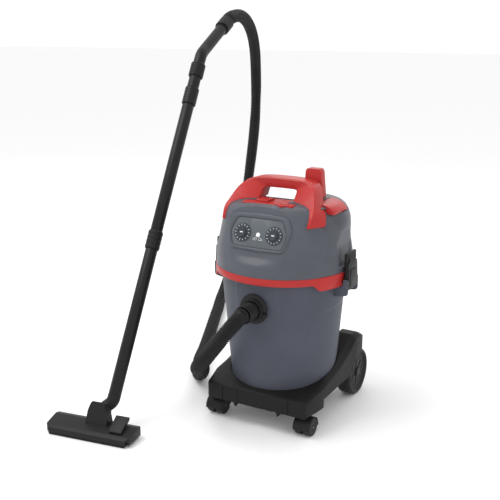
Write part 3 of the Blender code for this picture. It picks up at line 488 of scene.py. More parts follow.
def cubic(start: Vector, out: Vector, back: Vector, end: Vector, count: int) -> list[Vector]:
    """Points on one Bezier curve, with its two handles."""
    return [start * (1 - t) ** 3 + out * 3 * t * (1 - t) ** 2 + back * 3 * t * t * (1 - t) + end * t ** 3
            for t in (step / count for step in range(count + 1))]


# ---- the bench: meshes and finished pieces ---------------------------------------------------------------
AXES = {"XY": Matrix.Identity(4),
        "XZ": Matrix(((1, 0, 0, 0), (0, 0, -1, 0), (0, 1, 0, 0), (0, 0, 0, 1))),
        "YZ": Matrix(((0, 0, 1, 0), (1, 0, 0, 0), (0, 1, 0, 0), (0, 0, 0, 1)))}
FORWARD = Matrix.Rotation(math.radians(90), 4, "X")


class Bench:
    """Makes meshes in the machine's axes and hands them over as finished pieces."""

    def __init__(self, axis: Vector) -> None:
        """Stand the bench on the machine's upright axis."""
        self.axis = Matrix.Translation(axis)

    def raw(self, name: str, verts: Sequence[Sequence[float]], faces: Sequence[Sequence[int]],
            frame: Matrix = Matrix.Identity(4)) -> bpy.types.Object:
        """Make a mesh object from points and faces, placed by a frame in the machine's axes.

        Args:
            name: What the piece or material is called.
            verts: Corner points.
            faces: Corner numbers of each face.
            frame: Where it stands.

        Returns:
            The mesh object.
        """
        mesh = bpy.data.meshes.new(name)
        mesh.from_pydata([tuple(v) for v in verts], [], faces)
        shape = bmesh.new()
        shape.from_mesh(mesh)
        bmesh.ops.remove_doubles(shape, verts=shape.verts, dist=0.000002)
        bmesh.ops.recalc_face_normals(shape, faces=shape.faces)
        shape.to_mesh(mesh)
        shape.free()
        mesh.transform(frame)
        made = bpy.data.objects.new(name, mesh)
        bpy.context.scene.collection.objects.link(made)
        return made

    def rings(self, name: str, loops: Sequence[Sequence[Sequence[float]]], frame: Matrix = Matrix.Identity(4),
              wrap: bool = False, caps: bool = True) -> bpy.types.Object:
        """Skin a row of closed loops.

        Args:
            name: The object's name.
            loops: Loops of equally many points.
            frame: Where the mesh goes.
            wrap: Join the last loop to the first.
            caps: Close the first and the last loop with a face.

        Returns:
            The mesh object.
        """
        size = len(loops[0])
        verts = [point for loop in loops for point in loop]
        faces = []
        for row in range(len(loops) if wrap else len(loops) - 1):
            low, high = row * size, ((row + 1) % len(loops)) * size
            faces += [(low + i, low + (i + 1) % size, high + (i + 1) % size, high + i) for i in range(size)]
        if caps and not wrap:
            faces += [tuple(range(size - 1, -1, -1)), tuple(range(len(verts) - size, len(verts)))]
        return self.raw(name, verts, faces, frame)

    def lathe(self, name: str, profile: Profile, frame: Matrix = Matrix.Identity(4), steps: int = 64,
              closed: bool = False) -> bpy.types.Object:
        """Turn a profile of (radius, height) about local Z; an open profile ends on the axis or is capped.

        Args:
            name: What the piece or material is called.
            profile: Radius and height pairs.
            frame: Where it stands.
            steps: Sides round.
            closed: Whether the outline closes.

        Returns:
            The mesh object.
        """
        loops = [[(max(r, 1e-6) * math.cos(a), max(r, 1e-6) * math.sin(a), z)
                  for a in (2 * math.pi * s / steps for s in range(steps))] for r, z in profile]
        return self.rings(name, loops, frame, closed)

    def tube(self, name: str, stations: Sequence[tuple[Vector, float]], bore: float, steps: int = 32,
             frame: Matrix = Matrix.Identity(4)) -> bpy.types.Object:
        """Sweep a round tube.

        Args:
            name: The object's name.
            stations: Points with the outside radius there.
            bore: Radius of the bore; nought makes it solid.
            steps: Sides of the tube.
            frame: Where the mesh goes.

        Returns:
            The mesh object.
        """
        points = [point for point, _ in stations]
        side = Vector((0.31, 0.22, 0.92))
        outer, inner = [], []
        for index, (point, radius) in enumerate(stations):
            along = (points[min(index + 1, len(points) - 1)] - points[max(index - 1, 0)])
            along = along.normalized()
            side = (side - along * side.dot(along)).normalized()
            up = along.cross(side)
            turns = [2 * math.pi * step / steps for step in range(steps)]
            circle = [side * math.cos(a) + up * math.sin(a) for a in turns]
            outer.append([point + ray * radius for ray in circle])
            inner.append([point + ray * bore for ray in circle])
        if bore <= 0:
            return self.rings(name, outer, frame)
        return self.rings(name, outer + inner[::-1], frame, True)

    def prism(self, name: str, outline: Profile, low: float, high: float, plane: str,
              frame: Matrix = Matrix.Identity(4), edge: float = 0.0) -> bpy.types.Object:
        """Extrude an outline between two places along its plane's axis, with eased rims.

        Args:
            name: What the piece or material is called.
            outline: Corner points of the outline.
            low: Where it starts.
            high: Where it ends.
            plane: The plane that the outline lies in.
            frame: Where it stands.
            edge: Width of its rounded edges.

        Returns:
            The mesh object.
        """
        flip = -1 if plane == "XZ" else 1
        loops = [[(x, y, flip * z) for x, y in outline] for z in (low, high)]
        made = self.rings(name, loops, frame @ AXES[plane])
        if edge:
            self.ease_edges(made, edge)
        return made

    def block(self, name: str, low: Sequence[float], high: Sequence[float],
              frame: Matrix = Matrix.Identity(4),
              edge: float = 0.0) -> bpy.types.Object:
        """Make a box between two corners, with eased edges."""
        outline = [(low[0], low[1]), (high[0], low[1]), (high[0], high[1]), (low[0], high[1])]
        return self.prism(name, outline, low[2], high[2], "XY", frame, edge)

    def ease_edges(self, obj: bpy.types.Object, width: float, segments: int = 3, angle: float = 35) -> None:
        """Round the sharp edges by a width.

        Args:
            obj: The mesh to work on.
            width: Width of the easing.
            segments: Steps round each edge.
            angle: Turn round the middle.
        """
        bevel = obj.modifiers.new("eased", "BEVEL")
        bevel.width, bevel.segments = width, segments
        bevel.limit_method, bevel.angle_limit = "ANGLE", math.radians(angle)
        self.bake(obj)

    def bake(self, obj: bpy.types.Object) -> None:
        """Turn the modifiers' result into the object's own mesh.

        Args:
            obj: The mesh to work on.
        """
        bpy.context.view_layer.update()
        graph = bpy.context.evaluated_depsgraph_get()
        mesh = bpy.data.meshes.new_from_object(obj.evaluated_get(graph))
        obj.modifiers.clear()
        obj.data = mesh

    def cut(self, obj: bpy.types.Object, *others: bpy.types.Object,
            how: str = "DIFFERENCE") -> bpy.types.Object:
        """Cut, join or trim an object by others, which are used up.

        Args:
            obj: The mesh to work on.
            how: The Boolean to use.
            others: The meshes that are used on it.

        Returns:
            The mesh object.
        """
        for other in others:
            change = obj.modifiers.new("change", "BOOLEAN")
            change.operation, change.object, change.solver = how, other, "EXACT"
            self.bake(obj)
            bpy.data.objects.remove(other, do_unlink=True)
        return obj

    def gather(self, *objects: bpy.types.Object) -> bpy.types.Object:
        """Put several meshes into the first object's mesh.

        Args:
            objects: The meshes to join.

        Returns:
            The mesh object.
        """
        shape = bmesh.new()
        for obj in objects:
            shape.from_mesh(obj.data)
        shape.to_mesh(objects[0].data)
        shape.free()
        for obj in objects[1:]:
            bpy.data.objects.remove(obj, do_unlink=True)
        return objects[0]

    def finish(self, obj: bpy.types.Object, name: str, body: str, finish: Finish, *nodes: str,
               angle: float = 32) -> bpy.types.Object:
        """Hand over a finished piece.

        Args:
            obj: The mesh object, in the machine's axes.
            name: The piece's name.
            body: The body it rides on.
            finish: Its finish.
            nodes: The frame's nodes it stands for.
            angle: Edges sharper than this stay sharp.

        Returns:
            The piece.
        """
        obj.name = name
        obj.data.transform(self.axis)
        obj.data.materials.clear()
        obj.data.materials.append(finish.material())
        obj.data.shade_smooth()
        obj.data.set_sharp_from_angle(angle=math.radians(angle))
        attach(obj, body)
        if nodes:
            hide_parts(*nodes)
        LOG.info("%-26s on %-20s %7d faces", name, body, len(obj.data.polygons))
        return obj


class Row(Enum):
    """How a repeated shape is laid out."""

    LINE = "line"
    CIRCLE = "circle"


@dataclass
class Repeater:
    """Geometry Nodes tree that sets small blocks or pins along a line or round a circle."""

    layout: Row
    round_shape: bool = False
    scatter: float = 0.0
    tree: bpy.types.NodeTree = field(init=False)
    sockets: dict[str, str] = field(init=False, default_factory=dict)

    def __post_init__(self) -> None:
        """Build the tree."""
        self.tree = bpy.data.node_groups.new("repeat_" + self.layout.value + ("_pins" if self.round_shape else ""),
                                             "GeometryNodeTree")
        face = self.tree.interface
        face.new_socket(name="Geometry", in_out="OUTPUT", socket_type="NodeSocketGeometry")
        for name, kind in (("Count", "NodeSocketInt"), ("Start", "NodeSocketVector"),
                           ("Step", "NodeSocketVector"),
                           ("Radius", "NodeSocketFloat"), ("Size", "NodeSocketVector"),
                           ("Material", "NodeSocketMaterial")):
            self.sockets[name] = face.new_socket(name=name, in_out="INPUT", socket_type=kind).identifier
        given = self.tree.nodes.new("NodeGroupInput")
        if self.layout is Row.LINE:
            points = self._add("GeometryNodeMeshLine", {"mode": "OFFSET"}, {
                "Count": given.outputs["Count"], "Start Location": given.outputs["Start"],
                "Offset": given.outputs["Step"]})
        else:
            points = self._add("GeometryNodeMeshCircle", {}, {"Vertices": given.outputs["Count"],
                                                              "Radius": given.outputs["Radius"]})
        if self.round_shape:
            pin = self._add("GeometryNodeMeshCylinder", {}, {"Vertices": 6, "Radius": 0.5, "Depth": 1.0})
        else:
            pin = self._add("GeometryNodeMeshCube", {}, {"Size": (1.0, 1.0, 1.0)})
        values = {"Points": points.outputs[0], "Instance": pin.outputs["Mesh"],
                  "Scale": given.outputs["Size"]}
        if self.layout is Row.CIRCLE:
            place = self._add("GeometryNodeInputPosition", {}, {})
            turn = self._add("FunctionNodeAlignRotationToVector", {"axis": "X"}, {"Vector": place.outputs[0]})
            values["Rotation"] = turn.outputs[0]
        elif self.scatter:
            lean = self._add("FunctionNodeRandomValue", {"data_type": "FLOAT_VECTOR"}, {
                "Min": (-self.scatter,) * 3, "Max": (self.scatter,) * 3, "Seed": 7})
            values["Rotation"] = lean.outputs[0]
        copies = self._add("GeometryNodeInstanceOnPoints", {}, values)
        real = self._add("GeometryNodeRealizeInstances", {}, {"Geometry": copies.outputs[0]})
        dress = self._add("GeometryNodeSetMaterial", {}, {"Geometry": real.outputs[0],
                                                          "Material": given.outputs["Material"]})
        out = self.tree.nodes.new("NodeGroupOutput")
        self.tree.links.new(dress.outputs[0], out.inputs[0])

    def _add(self, kind: str, settings: dict[str, object], values: dict[str, object]) -> bpy.types.Node:
        """Make one node, set it and wire it.

        Args:
            kind: The node's type name.
            settings: Attributes to set first.
            values: Input values or sockets, by name.

        Returns:
            The node.
        """
        made = self.tree.nodes.new(kind)
        for key, value in settings.items():
            setattr(made, key, value)
        for key, value in values.items():
            live = [socket for socket in made.inputs if socket.name == key and socket.enabled]
            if isinstance(value, bpy.types.NodeSocket):
                self.tree.links.new(value, live[0])
            else:
                live[0].default_value = value
        return made

    def grow(self, name: str, frame: Matrix, finish: Finish, **sizes: object) -> bpy.types.Object:
        """Run the tree and keep its plain mesh.

        Args:
            name: The object's name.
            frame: Where the mesh goes.
            finish: Finish of the copies.
            sizes: The tree's named inputs, in lower case.

        Returns:
            The mesh object.
        """
        seedling = bpy.data.objects.new(name, bpy.data.meshes.new(name))
        bpy.context.scene.collection.objects.link(seedling)
        nodes = seedling.modifiers.new("repeat", "NODES")
        nodes.node_group = self.tree
        nodes[self.sockets["Material"]] = finish.material()
        for key, value in sizes.items():
            nodes[self.sockets[key.title()]] = value
        bpy.context.view_layer.update()
        graph = bpy.context.evaluated_depsgraph_get()
        mesh = bpy.data.meshes.new_from_object(seedling.evaluated_get(graph))
        seedling.modifiers.clear()
        seedling.data = mesh
        mesh.transform(frame)
        return seedling


# ---- sub-assemblies --------------------------------------------------------------------------------------
@dataclass
class SuctionHose:
    """Corrugated hose, lying as its solid does, from the inlet connector to the hand tube's cuff."""

    crest: float = 0.0210
    valley: float = 0.0184
    pitch: float = 0.0056
    sides: int = 20
    floor: float = 0.0212
    route: tuple[tuple[float, float, float], ...] = (
        (0.000, -0.2353, 0.3465), (-0.003, -0.2560, 0.3410), (-0.034, -0.303, 0.289), (-0.090, -0.298, 0.218),
        (-0.148, -0.222, 0.163), (-0.197, -0.125, 0.119), (-0.250, -0.046, 0.064), (-0.308, 0.027, 0.0220),
        (-0.361, 0.115, 0.0212), (-0.403, 0.212, 0.0212), (-0.448, 0.309, 0.0212), (-0.536, 0.496, 0.0212),
        (-0.581, 0.592, 0.0212), (-0.624, 0.682, 0.0230), (-0.658, 0.779, 0.050), (-0.669, 0.852, 0.125),
        (-0.661, 0.886, 0.220), (-0.645, 0.896, 0.324), (-0.632, 0.907, 0.425), (-0.632, 0.935, 0.524),
        (-0.644, 0.981, 0.618), (-0.661, 1.028, 0.708), (-0.663, 1.038, 0.804), (-0.643, 0.999, 0.896),
        (-0.609, 0.930, 0.968), (-0.574, 0.849, 1.026), (-0.541, 0.762, 1.066), (-0.504, 0.666, 1.088),
        (-0.467, 0.568, 1.098), (-0.434, 0.475, 1.096), (-0.4070, 0.3960, 1.0880), (-0.4030, 0.3723, 1.0762))

    def build(self, bench: Bench) -> bpy.types.Object:
        """Args:
            bench: Where pieces are made.

        Returns:
            The hose.
        """
        run = smooth_run([Vector(point) for point in self.route], self.pitch / 4, self.floor)
        radii = (self.valley, self.crest, self.crest, self.valley)
        hose = bench.tube("hose", [(point, radii[i % 4]) for i, point in enumerate(run)], 0.0, self.sides)
        hose = bench.finish(hose, "suction_hose", "machine", Finish.HOSE, "hose", angle=80)
        path = [tuple(bench.axis @ point) for point in run[::20] + [run[-1]]]
        length = sum((b - a).length for a, b in zip(run, run[1:]))
        LOG.info("the hose is %.3f m long", length)
        return hose


@dataclass
class Tub:
    """Collecting tub: tapered wall with a side recess, a raised inlet panel and the lugs of the latches."""

    wall: float = 0.0035
    rim: float = 0.1840
    boss: float = 0.0425
    inlet: float = 0.3465
    outside: Profile = field(default_factory=lambda: [(0.0783, 0.1300), (0.0800, 0.1365), (0.0850, 0.1430),
                                                      (0.1000, 0.1485), (0.2000, 0.1575), (0.3100, 0.1660),
                                                      (0.4100, 0.1735), (0.4170, 0.1738)])

    def recess(self, turn: float, height: float) -> float:
        """How far the wall is set back on either flank, behind a slanting crease and below a rising line.

        Args:
            turn: Turn from the front, in radians.
            height: Height above the floor.

        Returns:
            The distance in metres.
        """
        angle = abs(math.degrees(turn))
        crease = between([(0.140, 40.0), (0.317, 47.8), (0.360, 49.4)], height)
        top = between([(47.8, 0.320), (67.6, 0.329), (120.0, 0.352)], angle)
        side = ease(crease - 0.7, crease + 0.7, angle) * (1 - ease(150, 156, angle))
        return 0.0022 * side * (1 - ease(top - 0.003, top + 0.001, height)) * ease(0.085, 0.135, height)

    def panel(self, across: float, height: float, front: bool) -> float:
        """Raise of the inlet panel, which has rounded lower corners.

        Args:
            across: Sideways share of the direction.
            height: Height above the floor.
            front: Whether it faces the front.

        Returns:
            The distance in metres.
        """
        if not front:
            return 0.0
        out = Vector((max(0.0, abs(across) - 0.048), max(0.0, 0.3235 - height), 0)).length
        return 0.0016 * (1 - ease(0.0135, 0.0165, out))

    def build(self, bench: Bench) -> None:
        """Make the shell and its lugs, and hand them over as one piece.

        Args:
            bench: Where meshes are made and handed over.
        """
        heights = with_edges([0.0783 + 0.0045 * i for i in range(76)], [0.3070, 0.0835], 0.0020)
        turns = [math.radians(1.25 * i - 180) for i in range(288)]
        outer, inner = [], []
        for height in heights:
            base = between(self.outside, height)
            loop = []
            for turn in turns:
                across = base * math.sin(turn)
                radius = base - self.recess(turn, height) + self.panel(across, height, math.cos(turn) > 0)
                loop.append((radius * math.sin(turn), -radius * math.cos(turn), height))
            outer.append(loop)
            thin = base - self.wall - 0.0012
            inner.append([(thin * math.sin(t), -thin * math.cos(t), max(height, 0.0818)) for t in turns])
        rim = [[(r * math.sin(t), -r * math.cos(t), z) for t in turns]
               for r, z in ((0.1760, 0.4172), (self.rim, 0.4176), (self.rim, 0.4256), (0.1700, 0.4256))]
        shell = bench.rings("tub", outer + rim + inner[::-1])
        boss = bench.lathe("boss",
                           softened([(self.boss, -0.0131), (self.boss, -0.0002), (0.0, -0.0002)], 0.0008,
                                            closed=False), self.mouth(), 48)
        shell = bench.cut(shell, boss, how="UNION")
        bore = bench.lathe("bore", [(0.0, -0.05), (0.0246, -0.05), (0.0246, 0.05), (0.0, 0.05)],
                           self.mouth(), 48)
        shell = bench.cut(shell, bore)
        lugs = []
        for _, sign in SIDES:
            for low, high in ((0.0312, 0.0362), (-0.0362, -0.0312)):
                outline = [(0.1680, 0.368), (0.2030, 0.374), (0.2060, 0.380), (0.2060, 0.414),
                           (0.2035, 0.418),
                           (0.1918, 0.418), (0.1918, 0.398), (0.1680, 0.398)]
                lugs.append(bench.prism("lug", softened([(sign * x, z) for x, z in outline], 0.004), low,
                                        high,
                                        "XZ", edge=0.0006))
        bench.finish(bench.gather(shell, *lugs), "tub_shell", "machine", Finish.TUB, "tub", angle=28)

    def mouth(self) -> Matrix:
        """Frame of the inlet, local Z facing the front."""
        return Matrix.Translation((0, -0.1735, self.inlet)) @ FORWARD


@dataclass
class Latches:
    """Side latches with a hooked toe, a ribbed thumb end and a raised middle."""

    half: float = 0.0300
    pivot: tuple[float, float] = (0.1985, 0.3920)

    def build(self, bench: Bench, rows: Repeater) -> None:
        """Make both latches, each with its ribs.

        Args:
            bench: Where meshes are made and handed over.
            rows: Repeats a shape along a line.
        """
        outline = [(-0.0068, 0.096), (-0.0068, 0.062), (-0.0040, 0.050), (-0.0060, 0.030), (-0.0060, 0.004),
                   (-0.0030, -0.0065), (0.0030, -0.0075), (0.0072, -0.0030), (0.0080, 0.030), (0.0062, 0.062),
                   (0.0020, 0.096)]
        for side, sign in SIDES:
            hinge = Matrix.Translation((sign * self.pivot[0], 0, self.pivot[1]))
            shape = [(sign * x, z) for x, z in softened(outline, 0.004)]
            lever = bench.prism("latch", shape, -self.half, self.half, "XZ", hinge, 0.0014)
            for low, high in ((-self.half - 0.001, -self.half + 0.009),
                              (self.half - 0.009, self.half + 0.001)):
                notch = [(sign * x, z) for x,
                         z in ((0.0020, 0.070), (0.0120, 0.070), (0.0120, 0.10), (0.0020, 0.10))]
                lever = bench.cut(lever, bench.prism("notch", notch, low, high, "XZ", hinge))
            bench.finish(lever, "latch_lever_" + side, side + "_latch", Finish.BLACK, "latch_" + side)
            ribs = rows.grow("ribs", hinge, Finish.BLACK, count=6, start=(sign * 0.0052, 0, 0.064),
                             step=(sign * -0.0004, 0, 0.0050), size=(0.0026, 0.036, 0.0016))
            bench.finish(ribs, "latch_ribs_" + side, side + "_latch", Finish.BLACK)
            pad = bench.prism("pad",
                              softened([(-0.020, 0.004), (0.020, 0.004), (0.020, 0.050), (-0.020, 0.050)],
                                              0.006), 0.0066, 0.0088, "YZ",
                              hinge @ Matrix.Rotation(0.0 if sign > 0 else math.pi, 4, "Z"), 0.0006)
            bench.finish(pad, "latch_pad_" + side, side + "_latch", Finish.BLACK)


@dataclass
class Inlet:
    """Bayonet flange on the tub's front with the hose's connector in it and a push catch."""

    height: float = 0.3465

    def build(self, bench: Bench, rounds: Repeater) -> None:
        """Make the flange, the connector with its rings, and the catch.

        Args:
            bench: Where meshes are made and handed over.
            rounds: Repeats a shape round a circle.
        """
        mouth = Matrix.Translation((0, -0.1735, self.height)) @ FORWARD
        flange = bench.lathe("flange", softened([(0.0250, 0.0003), (0.0410, 0.0003), (0.0410, 0.0048),
                                                 (0.0355, 0.0062), (0.0330, 0.0072), (0.0316, 0.0090),
                                                 (0.0312, 0.0168), (0.0298, 0.0180), (0.0250, 0.0180)],
                                                0.0012),
                             mouth, 72, True)
        slot = bench.block("slot", (0.0322, -0.0125, -0.0100), (0.0394, -0.0045, 0.03), mouth)
        bench.finish(bench.cut(flange, slot), "inlet_collar", "machine", Finish.BLACK, "inlet_flange")
        lugs = rounds.grow("lugs", mouth @ Matrix.Translation((0, 0, 0.0125)), Finish.BLACK, count=16,
                           radius=0.0312, size=(0.0012, 0.0030, 0.0080))
        bench.finish(lugs, "inlet_collar_grips", "machine", Finish.BLACK)
        catch = bench.block("catch", (0.0326, -0.0121, 0.0026), (0.0390, -0.0049, 0.0100), mouth, 0.0010)
        bench.finish(catch, "inlet_catch_button", "inlet_catch", Finish.BLACK, "flange_catch")
        rings = [(0.0175, -0.0300), (0.0236, -0.0300), (0.0236, 0.0184), (0.0250, 0.0200)]
        for step in range(4):
            low = 0.0300 + step * 0.0060
            rings += [(0.0250, low), (0.0240, low + 0.0010), (0.0240, low + 0.0024), (0.0250, low + 0.0034)]
        rings += [(0.0250, 0.0590), (0.0238, 0.0615), (0.0212, 0.0615), (0.0200, 0.0560), (0.0175, 0.0540)]
        bench.finish(bench.lathe("cuff", softened(rings, 0.0007), mouth, 64, True), "hose_inlet_cuff",
                     "machine",
                     Finish.BLACK, "hose_connector")


@dataclass
class RimBand:
    """Red band that joins the head to the tub, deeper beside each latch with slanting ends."""

    radius: float = 0.1900
    bottom: float = 0.4162
    drop: float = 0.0170
    top: float = 0.4357

    def low(self, turn: float) -> float:
        """Lower edge of the band at a turn from the front."""
        y = -self.radius * math.cos(turn)
        return self.bottom - self.drop * (1 - ease(0.104, 0.124, abs(y)))

    def build(self, bench: Bench) -> None:
        """Loft the band's section round the machine.

        Args:
            bench: Where meshes are made and handed over.
        """
        turns = [math.radians(1.5 * i) for i in range(240)]
        section = [(0.1720, 0.0, self.top), (self.radius - 0.0014, 0.0, self.top),
                   (self.radius - 0.0003, 0.0, 0.4352),
                   (self.radius, 0.0, 0.4342), (self.radius, 1.0, 0.0014),
                   (self.radius - 0.0006, 1.0, 0.0004),
                   (self.radius - 0.0020, 1.0, 0.0), (0.1848, 1.0, 0.0), (0.1848, 0.0, 0.4290),
                   (0.1720, 0.0, 0.4290)]
        loops = [[(r * math.sin(t), -r * math.cos(t), z + follow * self.low(t)) for t in turns]
                 for r, follow, z in section]
        bench.finish(bench.rings("band", loops, wrap=True), "rim_band", "motor_head", Finish.RED, "head_rim")


@dataclass
class HeadCover:
    """Grey motor cover: a round body cut by a leaning control face, with latch recesses and a side pocket."""

    wall: float = 0.0032
    face_at: float = 0.1523
    face_lean: float = 0.3324
    outside: Profile = field(default_factory=lambda: [
        (0.436, 0.1893), (0.466, 0.1884), (0.482, 0.1862), (0.500, 0.1834), (0.523, 0.1780), (0.548, 0.1730),
        (0.570, 0.1680), (0.586, 0.1630), (0.598, 0.1560), (0.607, 0.1450), (0.613, 0.1290), (0.617, 0.1050)])

    def face(self, across: float, along: float, height: float) -> float:
        """Where a level ray from the axis meets the control face, flat in the middle and curving back beyond.

        Args:
            across: Sideways share of the direction.
            along: Forward share of the direction.
            height: Height above the floor.

        Returns:
            The distance in metres.
        """
        reach = self.face_at - self.face_lean * (height - 0.540)
        low, high = 0.02, 0.40
        for _ in range(22):
            middle = (low + high) / 2
            beyond = max(0.0, abs(middle * across) - 0.070)
            low, high = (middle, high) if middle * along < reach - 7.5 * beyond * beyond else (low, middle)
        return low

    def radius(self, turn: float, height: float) -> float:
        """Outside radius at a turn from the front and a height.

        Args:
            turn: Turn from the front, in radians.
            height: Height above the floor.

        Returns:
            The distance in metres.
        """
        across, along = math.sin(turn), math.cos(turn)
        body = between(self.outside, height)
        body += 0.0110 * ease(0.500, 0.574, height) * (1 - ease(-0.5, 0.5, along))
        if along > 0.2:
            face = self.face(across, along, height)
            if face < body:
                body += (face - body) * ease(0.464, 0.488, height)
        if abs(across) > 0.9:
            y = -body * along
            inside = (ease(-0.042, -0.037, y) * (1 - ease(0.045, 0.050, y))
                      * ease(0.447, 0.453, height) * (1 - ease(0.540, 0.549, height)))
            body += (min(body, 0.1752 / abs(across)) - body) * inside
        angle = abs(math.degrees(turn))
        flank = ease(0, 3.0, angle - between([(0.446, 53.3), (0.508, 59.0), (0.530, 62.0)], height))
        body -= 0.0016 * flank * (1 - ease(0.500, 0.530, height)) * (1 - ease(100, 112, angle))
        if turn > 0:
            pocket = ease(59, 63, angle) * (1 - ease(80, 96, angle))
            depth = ease(0.548 + 0.012 * ease(76, 92, angle), 0.572,
                         height) * (1 - ease(0.600, 0.607, height))
            body -= 0.0125 * pocket * depth
        return body

    def loops(self, grow: float = 0.0) -> list[list[tuple[float, float, float]]]:
        """Closed level loops up the outside, grown outward by a distance.

        Args:
            grow: How far outside to stay.

        Returns:
            The loops, from the bottom up.
        """
        heights = sorted(set([0.436, 0.438] + [0.441 + 0.0035 * i for i in range(43)]
                             + [0.592 + 0.0016 * i for i in range(12)] + [0.6125, 0.614, 0.6155, 0.617]))
        turns = [math.radians(1.5 * i - 180) for i in range(240)]
        rows = []
        for height in heights:
            lift = grow * ease(0.57, 0.61, height)
            rows.append([((self.radius(t, height) + grow) * math.sin(t), -(self.radius(t, height) + grow)
                          * math.cos(t), height + lift) for t in turns])
        for share, rise in ((0.94, 0.0006), (0.8, 0.0009), (0.5, 0.0011), (0.2, 0.0012)):
            rows.append([(x * share, y * share, 0.617 + rise + grow) for x, y, _ in rows[len(heights) - 1]])
        return rows

    def solid(self, bench: Bench, grow: float) -> bpy.types.Object:
        """The closed body of the head, for trimming what stands on it.

        Args:
            bench: Where meshes are made and handed over.
            grow: How far outside to stay.

        Returns:
            The mesh object.
        """
        rows = self.loops(grow)
        rows[0] = [(x, y, 0.40) for x, y, _ in rows[0]]
        return bench.rings("head_solid", rows)

    def deck(self, grow: float) -> Profile:
        """Plan outline of the deck plate.

        Args:
            grow: How far outside to stay.

        Returns:
            The outline.
        """
        half = [(0.074 + grow, -0.108 - grow), (0.074 + grow, -0.080 + grow), (0.0440 + grow, -0.072 + grow),
                (0.0440 + grow, -0.032 + grow)]
        return half + [(-x, y) for x, y in reversed(half)]

    def trough(self, bench: Bench, grow: float) -> bpy.types.Object:
        """The room behind the grip: open above a floor that slopes down to the rear.

        Args:
            bench: Where meshes are made.
            grow: How much wider and deeper to make it.

        Returns:
            The room as a closed mesh.
        """
        right, left, start, step = 0.0430 + grow, -0.108 - grow, -0.0262 - grow, 0.100 - grow
        plan = [(left, start), (right, start), (right, step), (0.22, step), (0.22, 0.22), (-0.22, 0.22),
                (-0.22, step), (left, step)]
        room = bench.prism("trough", softened(plan, 0.012), 0.50, 0.66 - 10 * grow, "XY")
        lean = Matrix.Translation((0, -0.0262, 0.5920 - 1.03 * grow)) @ Matrix.Rotation(-math.atan(0.2587),
                                                                                        4, "X")
        return bench.cut(room, bench.block("above", (-0.3, -0.10, 0.0), (0.3, 0.40, 0.30), lean),
                         how="INTERSECT")

    def build(self, bench: Bench) -> None:
        """Make the cover with its wells, and hand it over.

        Args:
            bench: Where meshes are made and handed over.
        """
        rows = self.loops()
        inside = [[(x * (1 - self.wall / max(0.01, math.hypot(x, y))),
                    y * (1 - self.wall / max(0.01, math.hypot(x, y))),
                    z - (self.wall * ease(0.59, 0.612, z))) for x, y, z in row] for row in rows]
        cover = bench.rings("cover", rows + inside[::-1])
        liner = bench.cut(self.trough(bench, self.wall), self.solid(bench, -0.0008), how="INTERSECT")
        cover = bench.cut(cover, liner, how="UNION")
        cover = bench.cut(cover, self.trough(bench, 0.0))
        skirt = bench.cut(bench.prism("skirt", softened(self.deck(0.0030), 0.004), 0.6000, 0.6150, "XY"),
                          self.solid(bench, -0.0008), how="INTERSECT")
        cover = bench.cut(cover, skirt, how="UNION")
        cover = bench.cut(cover, bench.prism("well", softened(self.deck(0.0008), 0.003), 0.590, 0.66, "XY"))
        notch = bench.prism("notch",
                            softened([(0.1094, -0.0405), (0.20, -0.0405), (0.20, 0.0585), (0.1094, 0.0585)],
                                              0.004), 0.5895, 0.66, "XY")
        cover = bench.cut(cover, notch)
        bench.finish(cover, "motor_cover", "motor_head", Finish.HEAD, "head_cover", angle=30)


